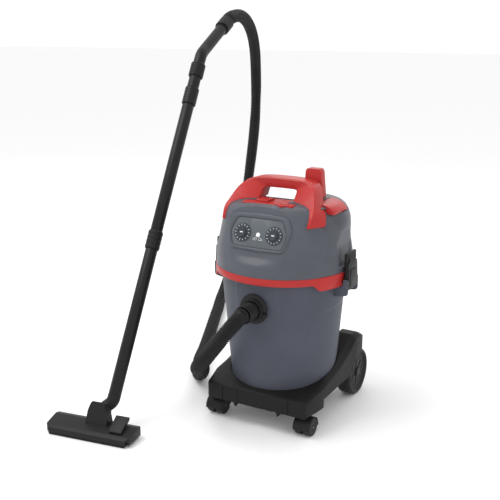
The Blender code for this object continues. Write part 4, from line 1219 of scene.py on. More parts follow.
@dataclass
class CarryHandle:
    """Arched carrying handle with faceted legs that run to points on the front shoulders."""

    edge: float = 0.0032
    sections: tuple = (
        ((0.1270, -0.1230, 0.5650), (0.1560, -0.0740, 0.5650), (0.0900, -0.0300, 0.5650),
         (0.0940, -0.1000, 0.5650)),
        ((0.1315, -0.1045, 0.5960), (0.1490, -0.0560, 0.5920), (0.0700, -0.0250, 0.5900),
         (0.0760, -0.0920, 0.5950)),
        ((0.1270, -0.0850, 0.6160), (0.1310, -0.0350, 0.6100), (0.0510, -0.0150, 0.6000),
         (0.0540, -0.0755, 0.6000)),
        ((0.1140, -0.0600, 0.6450), (0.1180, -0.0120, 0.6400), (0.0490, 0.0000, 0.6250),
         (0.0510, -0.0500, 0.6250)),
        ((0.1000, -0.0400, 0.6600), (0.1030, 0.0080, 0.6570), (0.0490, 0.0120, 0.6390),
         (0.0500, -0.0360, 0.6390)),
        ((0.0820, -0.0310, 0.6680), (0.0820, 0.0200, 0.6670), (0.0430, 0.0180, 0.6440),
         (0.0430, -0.0280, 0.6440)),
        ((0.0400, -0.0300, 0.6720), (0.0400, 0.0200, 0.6720), (0.0200, 0.0180, 0.6450),
         (0.0200, -0.0280, 0.6450)))

    def build(self, bench: Bench, cover: HeadCover) -> None:
        """Loft the arch, trim it to the head and add its ridge line, a thin bead in a lighter red that paints a
        highlight, and screw holes.

        Args:
            bench: Where meshes are made and handed over.
            cover: The head that it is trimmed to.
        """
        right = [[Vector(corner) for corner in section] for section in self.sections]
        rest = [[Vector((-v.x, v.y, v.z)) for v in section] for section in reversed(right)]
        stations = right + rest
        fine = []
        for index in range(len(stations) - 1):
            before, after = stations[max(index - 1, 0)], stations[min(index + 2, len(stations) - 1)]
            for step in range(4):
                t = step / 4
                fine.append([0.5 * (2 * b + (c - a) * t + (2 * a - 5 * b + 4 * c - d) * t * t
                                    + (3 * b - a - 3 * c + d) * t ** 3)
                             for a, b, c, d in zip(before, stations[index], stations[index + 1], after)])
        fine.append(stations[-1])
        arch = bench.rings("arch", fine)
        bench.ease_edges(arch, self.edge, 3, 30)
        bench.cut(arch, cover.solid(bench, 0.0004))
        ridge = [(section[0].lerp(section[3], 0.10) + Vector((0, -0.0004, 0.0000)), 0.00055)
                 for section in fine if abs(section[0].x) < 0.105]
        for side, sign in SIDES:
            spot, facing = self.touch(arch, Vector((sign * 0.103, -0.30, 0.597)), Vector((0, 1, 0)))
            turn = facing.to_track_quat("Z", "Y").to_matrix().to_4x4()
            frame = Matrix.Translation(spot) @ turn
            arch = bench.cut(arch,
                             bench.lathe("hole", [(0, -0.006), (0.0034, -0.006), (0.0034, 0.006), (0, 0.006)],
                                               frame, 24))
            screw = bench.lathe("screw",
                                softened([(0, -0.0055), (0.0031, -0.0055), (0.0031, -0.0040), (0, -0.0036)],
                                                  0.0004, closed=False), frame, 24)
            bench.finish(screw, "handle_screw_" + side, "motor_head", Finish.STEEL)
        bench.finish(arch, "carry_handle", "motor_head", Finish.RED, "handle", angle=24)
        # the ridge is a real thin bead; its lighter red is a painted highlight along the grip's edge
        bench.finish(bench.tube("ridge", ridge, 0.0, 8), "handle_ridge", "motor_head", Finish.SEAM)

    @staticmethod
    def touch(obj: bpy.types.Object, start: Vector, way: Vector) -> tuple[Vector, Vector]:
        """Where a ray first meets a mesh, and the way its face looks there."""
        hit, spot, facing, _ = obj.ray_cast(start, way)
        return (spot, facing) if hit else (start + way * 0.2, -way)


@dataclass
class HeadTop:
    """What stands on the head: the hose tower, the deck plate with its catch, and the shoulder lid."""

    def build(self, bench: Bench, cover: HeadCover, rows: Repeater) -> None:
        """Make the pieces on top of the head.

        Args:
            bench: Where meshes are made and handed over.
            cover: The head that it is trimmed to.
            rows: Repeats a shape along a line.
        """
        outline = softened([(0.1030, 0.5950), (0.0942, 0.6890), (0.0890, 0.6960), (0.0540, 0.6960),
                            (0.0492, 0.6890),
                            (0.0440, 0.5950)], 0.003)
        tower = bench.prism("tower", outline, 0.0225, 0.0480, "XZ", edge=0.0032)
        tower = bench.cut(tower, cover.solid(bench, 0.0004))
        groove = softened([(0.0840, 0.633), (0.0810, 0.685), (0.0620, 0.685), (0.0590, 0.633)], 0.003)
        tower = bench.cut(tower, bench.prism("groove", groove, 0.0440, 0.060, "XZ"))
        bench.finish(tower, "hose_tower", "motor_head", Finish.RED, "hose_rest")

        plate = bench.prism("deck", softened(cover.deck(0.0), 0.003), 0.6040, 0.6165, "XY", edge=0.0014)
        plate = bench.cut(plate, bench.block("bed", (-0.0425, -0.0925, 0.6105), (-0.0055, -0.0425, 0.65)))
        tab = bench.prism("tab",
                          softened([(0.020, -0.104), (0.064, -0.104), (0.052, -0.112), (0.046, -0.1215),
                                           (0.040, -0.1140)], 0.0015), 0.6080, 0.6178, "XY", edge=0.0010)
        bench.finish(bench.gather(plate, tab), "deck_plate", "motor_head", Finish.RED, "top_plate")
        catch = bench.prism("catch", softened([(-0.0420, -0.0920), (-0.0060, -0.0920), (-0.0060, -0.0520),
                                               (-0.0420, -0.0520)], 0.003), 0.6108, 0.6221, "XY", edge=0.0014)
        bench.finish(catch, "deck_catch_slider", "deck_catch", Finish.RED, "filter_catch")
        grips = rows.grow("grips", Matrix.Identity(4), Finish.RED, count=5, start=(-0.024, -0.0840, 0.6218),
                          step=(0, 0.0055, 0), size=(0.026, 0.0016, 0.0012))
        bench.finish(grips, "deck_catch_grips", "deck_catch", Finish.RED)

        lid = bench.prism("lid",
                          softened([(0.1100, -0.040), (0.1640, -0.040), (0.1640, 0.058), (0.1100, 0.058)],
                                          0.004), 0.5900, 0.6160, "XY", edge=0.0016)
        lid = bench.cut(lid, bench.rings("lid_limit", self.plain_loops(cover)), how="INTERSECT")
        bench.finish(lid, "shoulder_cover", "motor_head", Finish.RED, "shoulder_lid", angle=28)

    @staticmethod
    def plain_loops(cover: HeadCover) -> list[list[tuple[float, float, float]]]:
        """The head's round body without its pockets, a little inside its outside.

        Args:
            cover: The head that it is trimmed to.

        Returns:
            The loops, from the bottom up.
        """
        rows = []
        for height, radius in [(0.58, 0.1650), *cover.outside[7:]]:
            grown = radius + 0.0095
            rows.append([(grown * math.cos(math.radians(3 * i)), grown * math.sin(math.radians(3 * i)),
                          height + 0.0015 * ease(0.59, 0.606, height)) for i in range(120)])
        return rows


@dataclass
class ControlPanel:
    """Raised bezel, inset plate, two dials, an indicator and plain marks on the head's leaning face."""

    outer: tuple = ((-0.0795, -0.0390), (0, -0.0430), (0.0795, -0.0390), (0.0925, 0.0160), (0.0915, 0.0300),
                    (0.0800, 0.0560), (0, 0.0600), (-0.0800, 0.0560), (-0.0915, 0.0300), (-0.0925, 0.0160))
    inner: tuple = ((-0.0714, -0.0316), (0.0714, -0.0316), (0.0815, 0.0084), (0.0645, 0.0443),
                    (-0.0645, 0.0443),
                    (-0.0815, 0.0084))

    def frame(self) -> Matrix:
        """The face's own frame: local X across, local Y up the face, local Z out of it."""
        turn = Matrix.Rotation(math.pi / 2 - math.atan(0.3324), 4, "X")
        return Matrix.Translation((0, -0.1523, 0.540)) @ turn

    def reach(self, outline: Sequence[tuple[float, float]], angle: float) -> float:
        """Distance from the panel's middle to an outline along a direction.

        Args:
            outline: Corner points of the outline.
            angle: Turn round the middle.

        Returns:
            The distance in metres.
        """
        ray = Vector((math.cos(angle), math.sin(angle)))
        best = 0.0
        for (ax, ay), (bx, by) in zip(outline, [*outline[1:], outline[0]]):
            ex, ey = bx - ax, by - ay
            bottom = ray.x * ey - ray.y * ex
            if abs(bottom) < 1e-9:
                continue
            far = (ax * ey - (ay - 0.008) * ex) / bottom
            along = (ax * ray.y - (ay - 0.008) * ray.x) / bottom
            if far > 0 and -1e-6 <= along <= 1 + 1e-6:
                best = max(best, far)
        return best

    def loop(self, outline: Profile, scale: float, out: float,
             height: float) -> list[tuple[float, float, float]]:
        """An outline as points at even directions, grown, at a height off the face.

        Args:
            outline: Corner points of the outline.
            scale: Size against the outline.
            out: How far outside the outline.
            height: Height above the floor.

        Returns:
            The loop.
        """
        loop = []
        for step in range(160):
            angle = 2 * math.pi * step / 160
            far = self.reach(outline, angle) * scale + out
            loop.append((far * math.cos(angle), 0.008 + far * math.sin(angle), height))
        return loop

    def build(self, bench: Bench, rows: Repeater, rounds: Repeater) -> None:
        """Make the bezel, plate, dials and marks.

        Args:
            bench: Where meshes are made and handed over.
            rows: Not used.
            rounds: Repeats a shape round a circle.
        """
        frame = self.frame()
        outer, inner = softened(self.outer, 0.014, count=6), softened(self.inner, 0.010, count=6)
        section = [(outer, 0.0, -0.0060), (outer, 0.0, -0.0006), (outer, -0.0008, 0.0016),
                   (outer, -0.0024, 0.0034),
                   (outer, -0.0046, 0.0044), (inner, 0.0060, 0.0045), (inner, 0.0036, 0.0040),
                   (inner, 0.0014, 0.0026),
                   (inner, 0.0003, 0.0008), (inner, 0.0003, -0.0060)]
        bezel = bench.rings("bezel", [self.loop(o, 1.0, out, h) for o, out, h in section], frame, wrap=True)
        bench.finish(bezel, "control_bezel", "motor_head", Finish.HEAD, "panel_bezel", angle=40)
        plate = bench.rings("plate",
                            [self.loop(inner, 1.0, -0.0004, 0.0006), self.loop(inner, 1.0, -0.0004, 0.0014),
                                      self.loop(inner, 1.0, -0.0012, 0.0018)], frame)
        bench.finish(plate, "control_plate", "motor_head", Finish.PANEL, "panel_plate")
        for side, sign in SIDES:
            dial = frame @ Matrix.Translation((sign * 0.0464, 0.0042, 0))
            knob = bench.lathe("dial",
                               softened([(0, 0.0100), (0.0088, 0.0100), (0.0100, 0.0112), (0.0112, 0.0112),
                                                 (0.0121, 0.0100), (0.0126, 0.0048), (0.0232, 0.0044),
                                                 (0.0244, 0.0036), (0.0245, 0.0024), (0, 0.0024)], 0.0006,
                                                closed=False), dial, 72)
            bench.finish(knob, "dial_knob_" + side, side + "_dial", Finish.DIAL, "dial_" + side)
            ticks = rounds.grow("ticks", dial @ Matrix.Translation((0, 0, 0.0045)), Finish.WHITE, count=14,
                                radius=0.0196, size=(0.0040, 0.0009, 0.0003))
            flutes = rounds.grow("flutes", dial @ Matrix.Translation((0, 0, 0.0076)), Finish.DIAL, count=24,
                                 radius=0.0121, size=(0.0010, 0.0012, 0.0046))
            bench.finish(ticks, "dial_ticks_" + side, side + "_dial", Finish.WHITE)
            bench.finish(flutes, "dial_flutes_" + side, side + "_dial", Finish.DIAL)
            mark = bench.block("mark", (-0.0042, -0.0012, 0.0099), (0.0042, 0.0012, 0.0102), dial, 0.0001)
            bench.finish(mark, "dial_mark_" + side, side + "_dial", Finish.WHITE)
        lens = bench.lathe("lens",
                           softened([(0, 0.0046), (0.0045, 0.0042), (0.0060, 0.0030), (0.0060, 0.0016),
                                             (0, 0.0016)], 0.0005, closed=False),
                           frame @ Matrix.Translation((0, 0.0021, 0)), 40)
        bench.finish(lens, "indicator_dome", "motor_head", Finish.WHITE, "indicator_lens")
        for side, sign in SIDES:
            for step, size in enumerate((0.0036, 0.0022)):
                place = frame @ Matrix.Translation((sign * (0.0065 + 0.0050 * step), -0.0085 - 0.0012 * step,
                                                    0.0019))
                sign_ring = bench.lathe("sign", [(size - 0.0006, 0), (size, 0), (size, 0.0002),
                                                 (size - 0.0006, 0.0002)],
                                        place, 24, True)
                bench.finish(sign_ring, f"panel_sign_{side}_{step}", "motor_head", Finish.WHITE)


@dataclass
class Exhaust:
    """Louvred outlet at the back of the head."""

    def build(self, bench: Bench, cover: HeadCover, rows: Repeater) -> None:
        """Make the frame and its slats.

        Args:
            bench: Where meshes are made and handed over.
            cover: The head that it is trimmed to.
            rows: Repeats a shape along a line.
        """
        frame = bench.prism("louvre",
                            softened([(-0.055, 0.4680), (0.055, 0.4680), (0.055, 0.5320), (-0.055, 0.5320)],
                                               0.006), 0.1700, 0.1925, "XZ", edge=0.0016)
        frame = bench.cut(frame, cover.solid(bench, 0.0004))
        opening = softened([(-0.048, 0.4750), (0.048, 0.4750), (0.048, 0.5250), (-0.048, 0.5250)], 0.003)
        frame = bench.cut(frame, bench.prism("opening", opening, 0.1890, 0.20, "XZ"))
        bench.finish(frame, "exhaust_frame", "motor_head", Finish.BLACK, "exhaust_grille")
        slats = rows.grow("slats", Matrix.Identity(4), Finish.BLACK, count=8, start=(0, 0.1900, 0.4785),
                          step=(0, 0, 0.0061), size=(0.0962, 0.0034, 0.0018))
        bench.finish(slats, "exhaust_slats", "motor_head", Finish.BLACK)


@dataclass
class Dolly:
    """Wheeled black base: side rails rising to rear posts, a front bumper and two feet."""

    bottom: float = 0.060
    axle: tuple[float, float] = (0.179, 0.0688)
    stations: tuple = (
        (-0.1720, 0.1460, 0.1350, 0.1000, 0.1050), (-0.1650, 0.1530, 0.1390, 0.1035, 0.1075),
        (-0.0970, 0.1650, 0.1480, 0.1160, 0.1180), (-0.0500, 0.1650, 0.1490, 0.1210, 0.1290),
        (0.0300, 0.1650, 0.1500, 0.1360, 0.1520), (0.1070, 0.1660, 0.1510, 0.1660, 0.1880),
        (0.1300, 0.1690, 0.1540, 0.1900, 0.2020), (0.1600, 0.1690, 0.1540, 0.1930, 0.2020),
        (0.1880, 0.1680, 0.1530, 0.1840, 0.1900))

    def build(self, bench: Bench) -> None:
        """Loft the body, ease its edges and cut its rooms, wells and seams.

        Args:
            bench: Where meshes are made and handed over.
        """
        loops = [[(-half, y, self.bottom), (-half, y, edge), (-ridge, y, top), (ridge, y, top),
                  (half, y, edge),
                  (half, y, self.bottom)] for y, half, ridge, edge, top in self.stations]
        body = bench.rings("dolly", loops)
        bench.ease_edges(body, 0.0030, 3, 18)
        grown = [(0.1304, 0.0780), (0.1434, 0.0850), (0.1489, 0.1000), (0.1579, 0.2000), (0.1750, 0.4000),
                 (0, 0.4)]
        bench.cut(body, bench.lathe("room", [(0, 0.0780)] + grown, steps=120))
        boxes = [((-0.1130, 0.06, 0.0960), (0.1130, 0.20, 0.30)),
                 ((-0.1180, -0.1150, 0.04), (0.1180, 0.1500, 0.0735)),
                 ((-0.1080, -0.1660, 0.04), (0.1080, -0.1240, 0.0950)),
                 ((-0.056, -0.18, 0.05), (0.056, -0.1708, 0.12))]
        for low, high in boxes:
            bench.cut(body, bench.block("cutter", low, high))
        across = Matrix.Rotation(math.pi / 2, 4, "Y")
        bore = [(0, 0.04), (0.0056, 0.04), (0.0056, 0.087), (0, 0.087)]
        for _, sign in SIDES:
            bench.cut(body, bench.lathe("bore", bore, Matrix.Translation((sign * 0.1368, -0.1467, 0)), 20))
        for _, sign in SIDES:
            low, high = sorted((sign * 0.1150, sign * 0.20))
            well = [(0, low), (0.0733, low), (0.0733, high), (0, high)]
            bench.cut(body, bench.lathe("well", well, Matrix.Translation((0, *self.axle)) @ across, 96))
            bench.cut(body, bench.block("relief", (low, -0.080, 0.04), (high, 0.11, 0.0850)))
        for _, sign in SIDES:
            bench.cut(body, bench.block("seam", (sign * 0.101 - 0.0008, -0.18, 0.05),
                                        (sign * 0.101 + 0.0008, -0.1704, 0.13)))
        feet = [bench.prism("foot", softened([(sign * 0.0575, 0.064), (sign * 0.0745, 0.064),
                                              (sign * 0.0660, 0.0440)],
                                             0.002), -0.1640, -0.1500, "XZ", edge=0.0008) for _,
                sign in SIDES]
        bench.finish(bench.gather(body, *feet), "dolly_body", "machine", Finish.DOLLY, "dolly_frame",
                     angle=24)


@dataclass
class RearWheels:
    """Large rear wheels with a dished, ringed face, spokes and a cap."""

    axle: tuple[float, float] = (0.179, 0.0688)

    def build(self, bench: Bench, rounds: Repeater) -> None:
        """Make both wheels.

        Args:
            bench: Where meshes are made and handed over.
            rounds: Repeats a shape round a circle.
        """
        profile = [(0.0053, 0.1190), (0.0053, 0.1560), (0.0150, 0.1560), (0.0180, 0.1540), (0.0380, 0.1540),
                   (0.0395, 0.1556), (0.0420, 0.1556), (0.0435, 0.1540), (0.0560, 0.1552), (0.0590, 0.1620),
                   (0.0650, 0.1625), (0.0688, 0.1580), (0.0688, 0.1430), (0.0678, 0.1424), (0.0678, 0.1396),
                   (0.0688, 0.1390), (0.0688, 0.1230), (0.0660, 0.1190), (0.0600, 0.1200), (0.0600, 0.1420),
                   (0.0140, 0.1420), (0.0140, 0.1190)]
        for side, sign in SIDES:
            spin = Matrix.Translation((0, *self.axle)) @ Matrix.Rotation(sign * math.pi / 2, 4, "Y")
            wheel = bench.lathe("wheel", softened(profile, 0.0016), spin, 96, True)
            bench.finish(wheel, "road_wheel_" + side, side + "_rear_wheel", Finish.RUBBER,
                         "rear_wheel_" + side)
            spokes = rounds.grow("spokes", spin @ Matrix.Translation((0, 0, 0.1546)), Finish.BLACK, count=6,
                                 radius=0.0285, size=(0.0200, 0.0080, 0.0024))
            bench.finish(spokes, "road_wheel_spokes_" + side, side + "_rear_wheel", Finish.BLACK)
            cap = bench.lathe("cap",
                              softened([(0, 0.1612), (0.0110, 0.1612), (0.0135, 0.1596), (0.0135, 0.1564),
                                               (0, 0.1564)], 0.0010, closed=False), spin, 48)
            bench.finish(cap, "hub_cap_" + side, side + "_rear_wheel", Finish.BLACK, "wheel_cap_" + side)


@dataclass
class Casters:
    """Front twin-wheel casters with hoods that turn with them."""

    place: tuple[float, float] = (0.1368, -0.1467)
    trail: float = 0.012
    radius: float = 0.0250

    def build(self, bench: Bench) -> None:
        """Make the hoods and wheels of both casters.

        Args:
            bench: Where meshes are made and handed over.
        """
        for side, sign in SIDES:
            swivel = Matrix.Translation((sign * self.place[0], self.place[1], 0))
            arc = [math.radians(a) for a in range(-10, 191, 8)]
            y, z = self.trail, self.radius
            spine = bench.prism("spine", [(y + 0.0272 * math.cos(a), z + 0.0272 * math.sin(a)) for a in arc]
                                + [(y, z - 0.0070)], -0.0040, 0.0040, "YZ", swivel)
            hood = bench.prism("hood", [(y + 0.0285 * math.cos(a), z + 0.0285 * math.sin(a)) for a in arc]
                               + [(y + 0.0262 * math.cos(a),
                                   z + 0.0262 * math.sin(a)) for a in reversed(arc)],
                               -0.0250, 0.0250, "YZ", swivel, 0.0008)
            collar = bench.lathe("collar",
                                 softened([(0, 0.0500), (0.0090, 0.0504), (0.0090, 0.0596), (0.0050, 0.0596),
                                                     (0.0050, 0.0850), (0, 0.0850)], 0.0010, closed=False),
                                 swivel, 32)
            fork = bench.gather(spine, hood, collar)
            bench.finish(fork, "caster_hood_" + side, side + "_caster", Finish.BLACK, "caster_fork_" + side)
            roll = swivel @ Matrix.Translation((0, y, z)) @ Matrix.Rotation(math.pi / 2, 4, "Y")
            for where, way in (("outer", sign), ("inner", -sign)):
                profile = [(0.0032, 0.0045), (0.0240, 0.0045), (0.0250, 0.0060), (0.0250, 0.0215),
                           (0.0228, 0.0245),
                           (0.0170, 0.0245), (0.0160, 0.0232), (0.0080, 0.0232), (0.0070, 0.0245),
                           (0.0032, 0.0245)]
                wheel = bench.lathe("roller", [(r, way * h) for r, h in softened(profile, 0.0010)], roll, 64,
                                    True)
                bench.finish(wheel, f"caster_roller_{side}_{where}", side + "_caster_wheels", Finish.RUBBER,
                             f"caster_wheel_{side}_{where}")


@dataclass
class Wand:
    """Two straight tubes, their collar, and the bent hand tube with its air slider and hose cuff."""

    foot: Vector = field(default_factory=lambda: Vector((-0.335, -0.357, 0.088)))
    top: Vector = field(default_factory=lambda: Vector((-0.374, 0.108, 0.861)))
    bend_end: Vector = field(default_factory=lambda: Vector((-0.3880, 0.2200, 0.9990)))
    hose_end: Vector = field(default_factory=lambda: Vector((-0.4030, 0.3723, 1.0762)))
    radius: float = 0.0175
    joint: float = 0.454
    reach: float = 0.903

    def frame(self) -> Matrix:
        """Frame at the wand's foot, local Z up the tubes."""
        along = (self.top - self.foot).normalized()
        side = along.cross(Vector((0, 1, 0))).normalized()
        back = along.cross(side).normalized()
        return Matrix.Translation(self.foot) @ Matrix((side, back, along)).transposed().to_4x4()

    def build(self, bench: Bench) -> None:
        """Make the tubes and what sits on them.

        Args:
            bench: Where meshes are made and handed over.
        """
        frame = self.frame()
        bore = self.radius - 0.0012
        for name, low, high in (("lower", 0.0100, self.joint),
                                ("upper", self.joint + 0.0003, self.reach + 0.0200)):
            tube = [(bore, low), (self.radius - 0.0003, low), (self.radius, low + 0.0006),
                    (self.radius, high - 0.0006),
                    (self.radius - 0.0003, high), (bore, high)]
            bench.finish(bench.lathe("tube", tube, frame, 56, True), name + "_suction_tube", "machine",
                         Finish.TUBE,
                         name + "_tube")
        bench.finish(self.collar(bench, "collar", self.joint - 0.0270, self.joint + 0.0270, 0.0212, 3, frame),
                     "tube_joint_collar", "machine", Finish.BLACK, "tube_collar")
        slider = self.collar(bench, "slider", 0.968, 1.012, 0.0220, 5, frame)
        window = bench.block("window", (-0.006, -0.03, 0.984), (0.006, -0.0185, 0.996), frame)
        bench.finish(bench.cut(slider, window), "air_slider", "air_control", Finish.BLACK, "air_ring")
        self.hand(bench)

    def collar(self, bench: Bench, name: str, low: float, high: float, radius: float, grooves: int,
               frame: Matrix) -> bpy.types.Object:
        """A sleeve with rounded ends and a few grooves round it.

        Args:
            bench: Where pieces are made.
            name: The mesh's name.
            low: Where it starts along the wand.
            high: Where it ends along the wand.
            radius: Its outside radius.
            grooves: How many grooves run round it.
            frame: The wand's frame.

        Returns:
            The sleeve.
        """
        profile = [(self.radius + 0.0003, low), (radius - 0.0016, low), (radius, low + 0.0030)]
        for step in range(grooves):
            middle = low + (high - low) * (step + 1) / (grooves + 1)
            profile += [(radius, middle - 0.0016), (radius - 0.0010, middle - 0.0006),
                        (radius - 0.0010, middle + 0.0006), (radius, middle + 0.0016)]
        profile += [(radius, high - 0.0030), (radius - 0.0016, high), (self.radius + 0.0003, high)]
        return bench.lathe(name, softened(profile, 0.0006), frame, 56, True)

    def hand(self, bench: Bench) -> None:
        """Make the bent hand tube with its ribbed socket, and the cuff that holds the hose.

        Args:
            bench: Where meshes are made and handed over.
        """
        along = (self.top - self.foot).normalized()
        out = (self.hose_end - self.bend_end).normalized()
        stations = []
        low, high = self.reach - 0.0250, self.reach + 0.0280
        for step in range(60):
            place = low + (high - low) * step / 59
            rib = 0.0005 * (0.5 + 0.5 * math.cos(2 * math.pi * (place - low) / 0.0080))
            edge = 0.0012 * (1 - ease(0, 0.0020, min(place - low, high - place)))
            stations.append((self.foot + along * place, 0.0212 - rib - edge))
        stations.append((self.foot + along * (high + 0.0006), self.radius))
        start = self.foot + along * 1.018
        bend = cubic(start, start + along * 0.030, self.bend_end - out * 0.030, self.bend_end, 24)
        stations += [(point, self.radius) for point in bend]
        end = self.hose_end - out * 0.0006
        stations.append((end, self.radius))
        bench.finish(bench.tube("hand", stations, self.radius - 0.0020, 40), "bent_hand_tube", "machine",
                     Finish.TUBE,
                     "hand_tube", angle=40)
        cuff = []
        for step in range(67):
            back = 0.0440 - 0.0437 * step / 66
            rib = 0.0006 * (0.5 + 0.5 * math.cos(2 * math.pi * back / 0.0066)) * ease(0.008, 0.012, back)
            cuff.append((self.hose_end - out * back,
                         0.0230 - rib - 0.0014 * (1 - ease(0.0, 0.0022, 0.0440 - back))))
        bench.finish(bench.tube("cuff", cuff, self.radius + 0.0003, 40), "hose_cuff", "machine", Finish.BLACK,
                     "hand_cuff", angle=40)


@dataclass
class FloorNozzle:
    """Floor nozzle: wedge body with a shield-shaped hub, tilting neck, pedal, base plate and bristles."""

    place: Vector = field(default_factory=lambda: Vector((-0.3600, -0.4230, 0.0)))
    turn: float = math.radians(8.4)
    half: float = 0.1270
    depth: float = 0.0370
    pivot: tuple[float, float, float] = (0.0120, 0.0270, 0.0560)

    def frame(self) -> Matrix:
        """The nozzle's own frame on the floor."""
        return Matrix.Translation(self.place) @ Matrix.Rotation(self.turn, 4, "Z")

    def build(self, bench: Bench, wand: Wand, bristles: Repeater) -> None:
        """Make the nozzle's pieces.

        Args:
            bench: Where meshes are made and handed over.
            wand: The wand whose foot it meets.
            bristles: Repeats tufts along a line.
        """
        frame = self.frame()
        side = [(-self.depth, 0.0062), (-self.depth, 0.0200), (-0.0250, 0.0270), (0.0200, 0.0370),
                (self.depth, 0.0330), (self.depth, 0.0062)]
        body = bench.prism("body", softened(side, 0.0030), -self.half, self.half, "YZ", frame, 0.0012)
        x = self.pivot[0]
        shield = softened([(-0.0340, 0.0250), (0.0340, 0.0250), (0.0280, 0.0700), (0.0200, 0.0900),
                           (0.0130, 0.0960),
                           (-0.0130, 0.0960), (-0.0200, 0.0900), (-0.0280, 0.0700)], 0.006)
        hub = bench.prism("hub", shield, -0.0340, 0.0010, "XZ", frame @ Matrix.Translation((x, 0.0330, 0)),
                          0.0016)
        lean = Matrix.Translation((0, 0, 0.034)) @ Matrix.Rotation(math.radians(-14), 4, "X")
        bench.cut(hub, bench.block("lean", (-0.05, -0.060, -0.02), (0.07, 0.0, 0.10), frame @ lean))
        bench.cut(body, hub, how="UNION")
        inset = 0.004
        bench.cut(body, bench.block("hollow", (inset - self.half, inset - self.depth, 0.0),
                                    (self.half - inset, self.depth - inset, 0.0160), frame))
        seat = [(0, -0.0225), (0.0205, -0.0225), (0.0205, 0.0225), (0, 0.0225)]
        sideways = Matrix.Rotation(math.pi / 2, 4, "Y")
        bench.cut(body, bench.lathe("seat", seat, frame @ Matrix.Translation(self.pivot) @ sideways, 56))
        y, z = self.pivot[1], self.pivot[2]
        bench.cut(body, bench.block("way", (x - 0.0225, y - 0.0120, z - 0.012), (x + 0.0225, 0.0500, 0.1200),
                                    frame))
        bench.cut(body,
                  bench.block("side_way", (x + 0.0210, y + 0.0023, z - 0.0023), (x + 0.0400, 0.0490, 0.1190),
                                    frame))
        for _, sign in SIDES:
            corner = Matrix.Translation((sign * (self.half + 0.0150), -self.depth - 0.0150, 0))
            bench.cut(body, bench.block("corner", (-0.03, -0.03, -0.05), (0.03, 0.03, 0.08),
                                        frame @ corner @ Matrix.Rotation(math.radians(45), 4, "Z")))
        bench.finish(body, "nozzle_shell", "floor_nozzle", Finish.BLACK, "nozzle_body", angle=24)
        base = bench.block("base", (0.012 - self.half, 0.001 - self.depth, 0.0008),
                           (self.half - 0.012, self.depth - 0.001, 0.0059), frame, 0.0014)
        bench.cut(base, bench.block("mouth", (-0.1000, -0.0200, -0.01), (0.1000, 0.0200, 0.02), frame))
        bench.finish(base, "nozzle_base", "floor_nozzle", Finish.BLACK, "nozzle_sole")
        pedal = [(-0.0200, 0.0300), (0.0260, 0.0480), (0.0300, 0.0560), (0.0240, 0.0600), (-0.0180, 0.0360),
                 (-0.0215, 0.0330)]
        bench.finish(bench.prism("pedal", softened(pedal, 0.0020), 0.0620, 0.1000, "YZ", frame, 0.0012),
                     "nozzle_foot_pedal", "pedal", Finish.BLACK, "nozzle_pedal")
        tufts = []
        for low, step, count in (((-0.0965, -0.0168, 0.0053), (0.0021, 0, 0), 93), ((-0.0965, 0.0168, 0.0053),
                                 (0.0021, 0, 0), 93), ((-0.0955, -0.0155, 0.0053), (0, 0.0021, 0), 16),
                                 ((0.0955, -0.0155, 0.0053), (0, 0.0021, 0), 16)):
            tufts.append(bristles.grow("tufts", frame, Finish.BRISTLE, count=count, start=low, step=step,
                                       size=(0.0017, 0.0026, 0.0088)))
        bench.finish(bench.gather(*tufts), "brush_bristles", "brush", Finish.BRISTLE, "brush_strip")
        self.neck(bench, wand, frame)

    def neck(self, bench: Bench, wand: Wand, frame: Matrix) -> None:
        """Make the tilting neck between the nozzle and the wand.

        Args:
            bench: Where meshes are made and handed over.
            wand: The wand whose foot it meets.
            frame: Where it stands.
        """
        along = (wand.top - wand.foot).normalized()
        pivot = frame @ Vector(self.pivot)
        foot = wand.foot + along * 0.0097
        lead = frame.to_3x3() @ Vector((0.10, 0.80, 0.60)).normalized()
        straight = foot - along * 0.008
        line = cubic(pivot, pivot + lead * 0.028, straight - along * 0.022, straight, 20) + [foot]
        neck = bench.tube("neck", [(p, 0.0172 + 0.0006 * i / 21) for i, p in enumerate(line)], 0.0130, 40)
        barrel = bench.lathe("barrel",
                             softened([(0, -0.0220), (0.0200, -0.0220), (0.0200, 0.0220), (0, 0.0220)],
                                                0.0010, closed=False),
                             frame @ Matrix.Translation(self.pivot) @ Matrix.Rotation(math.pi / 2, 4, "Y"),
                             56)
        bench.finish(bench.gather(neck, barrel), "nozzle_swivel_neck", "machine", Finish.BLACK, "nozzle_neck")


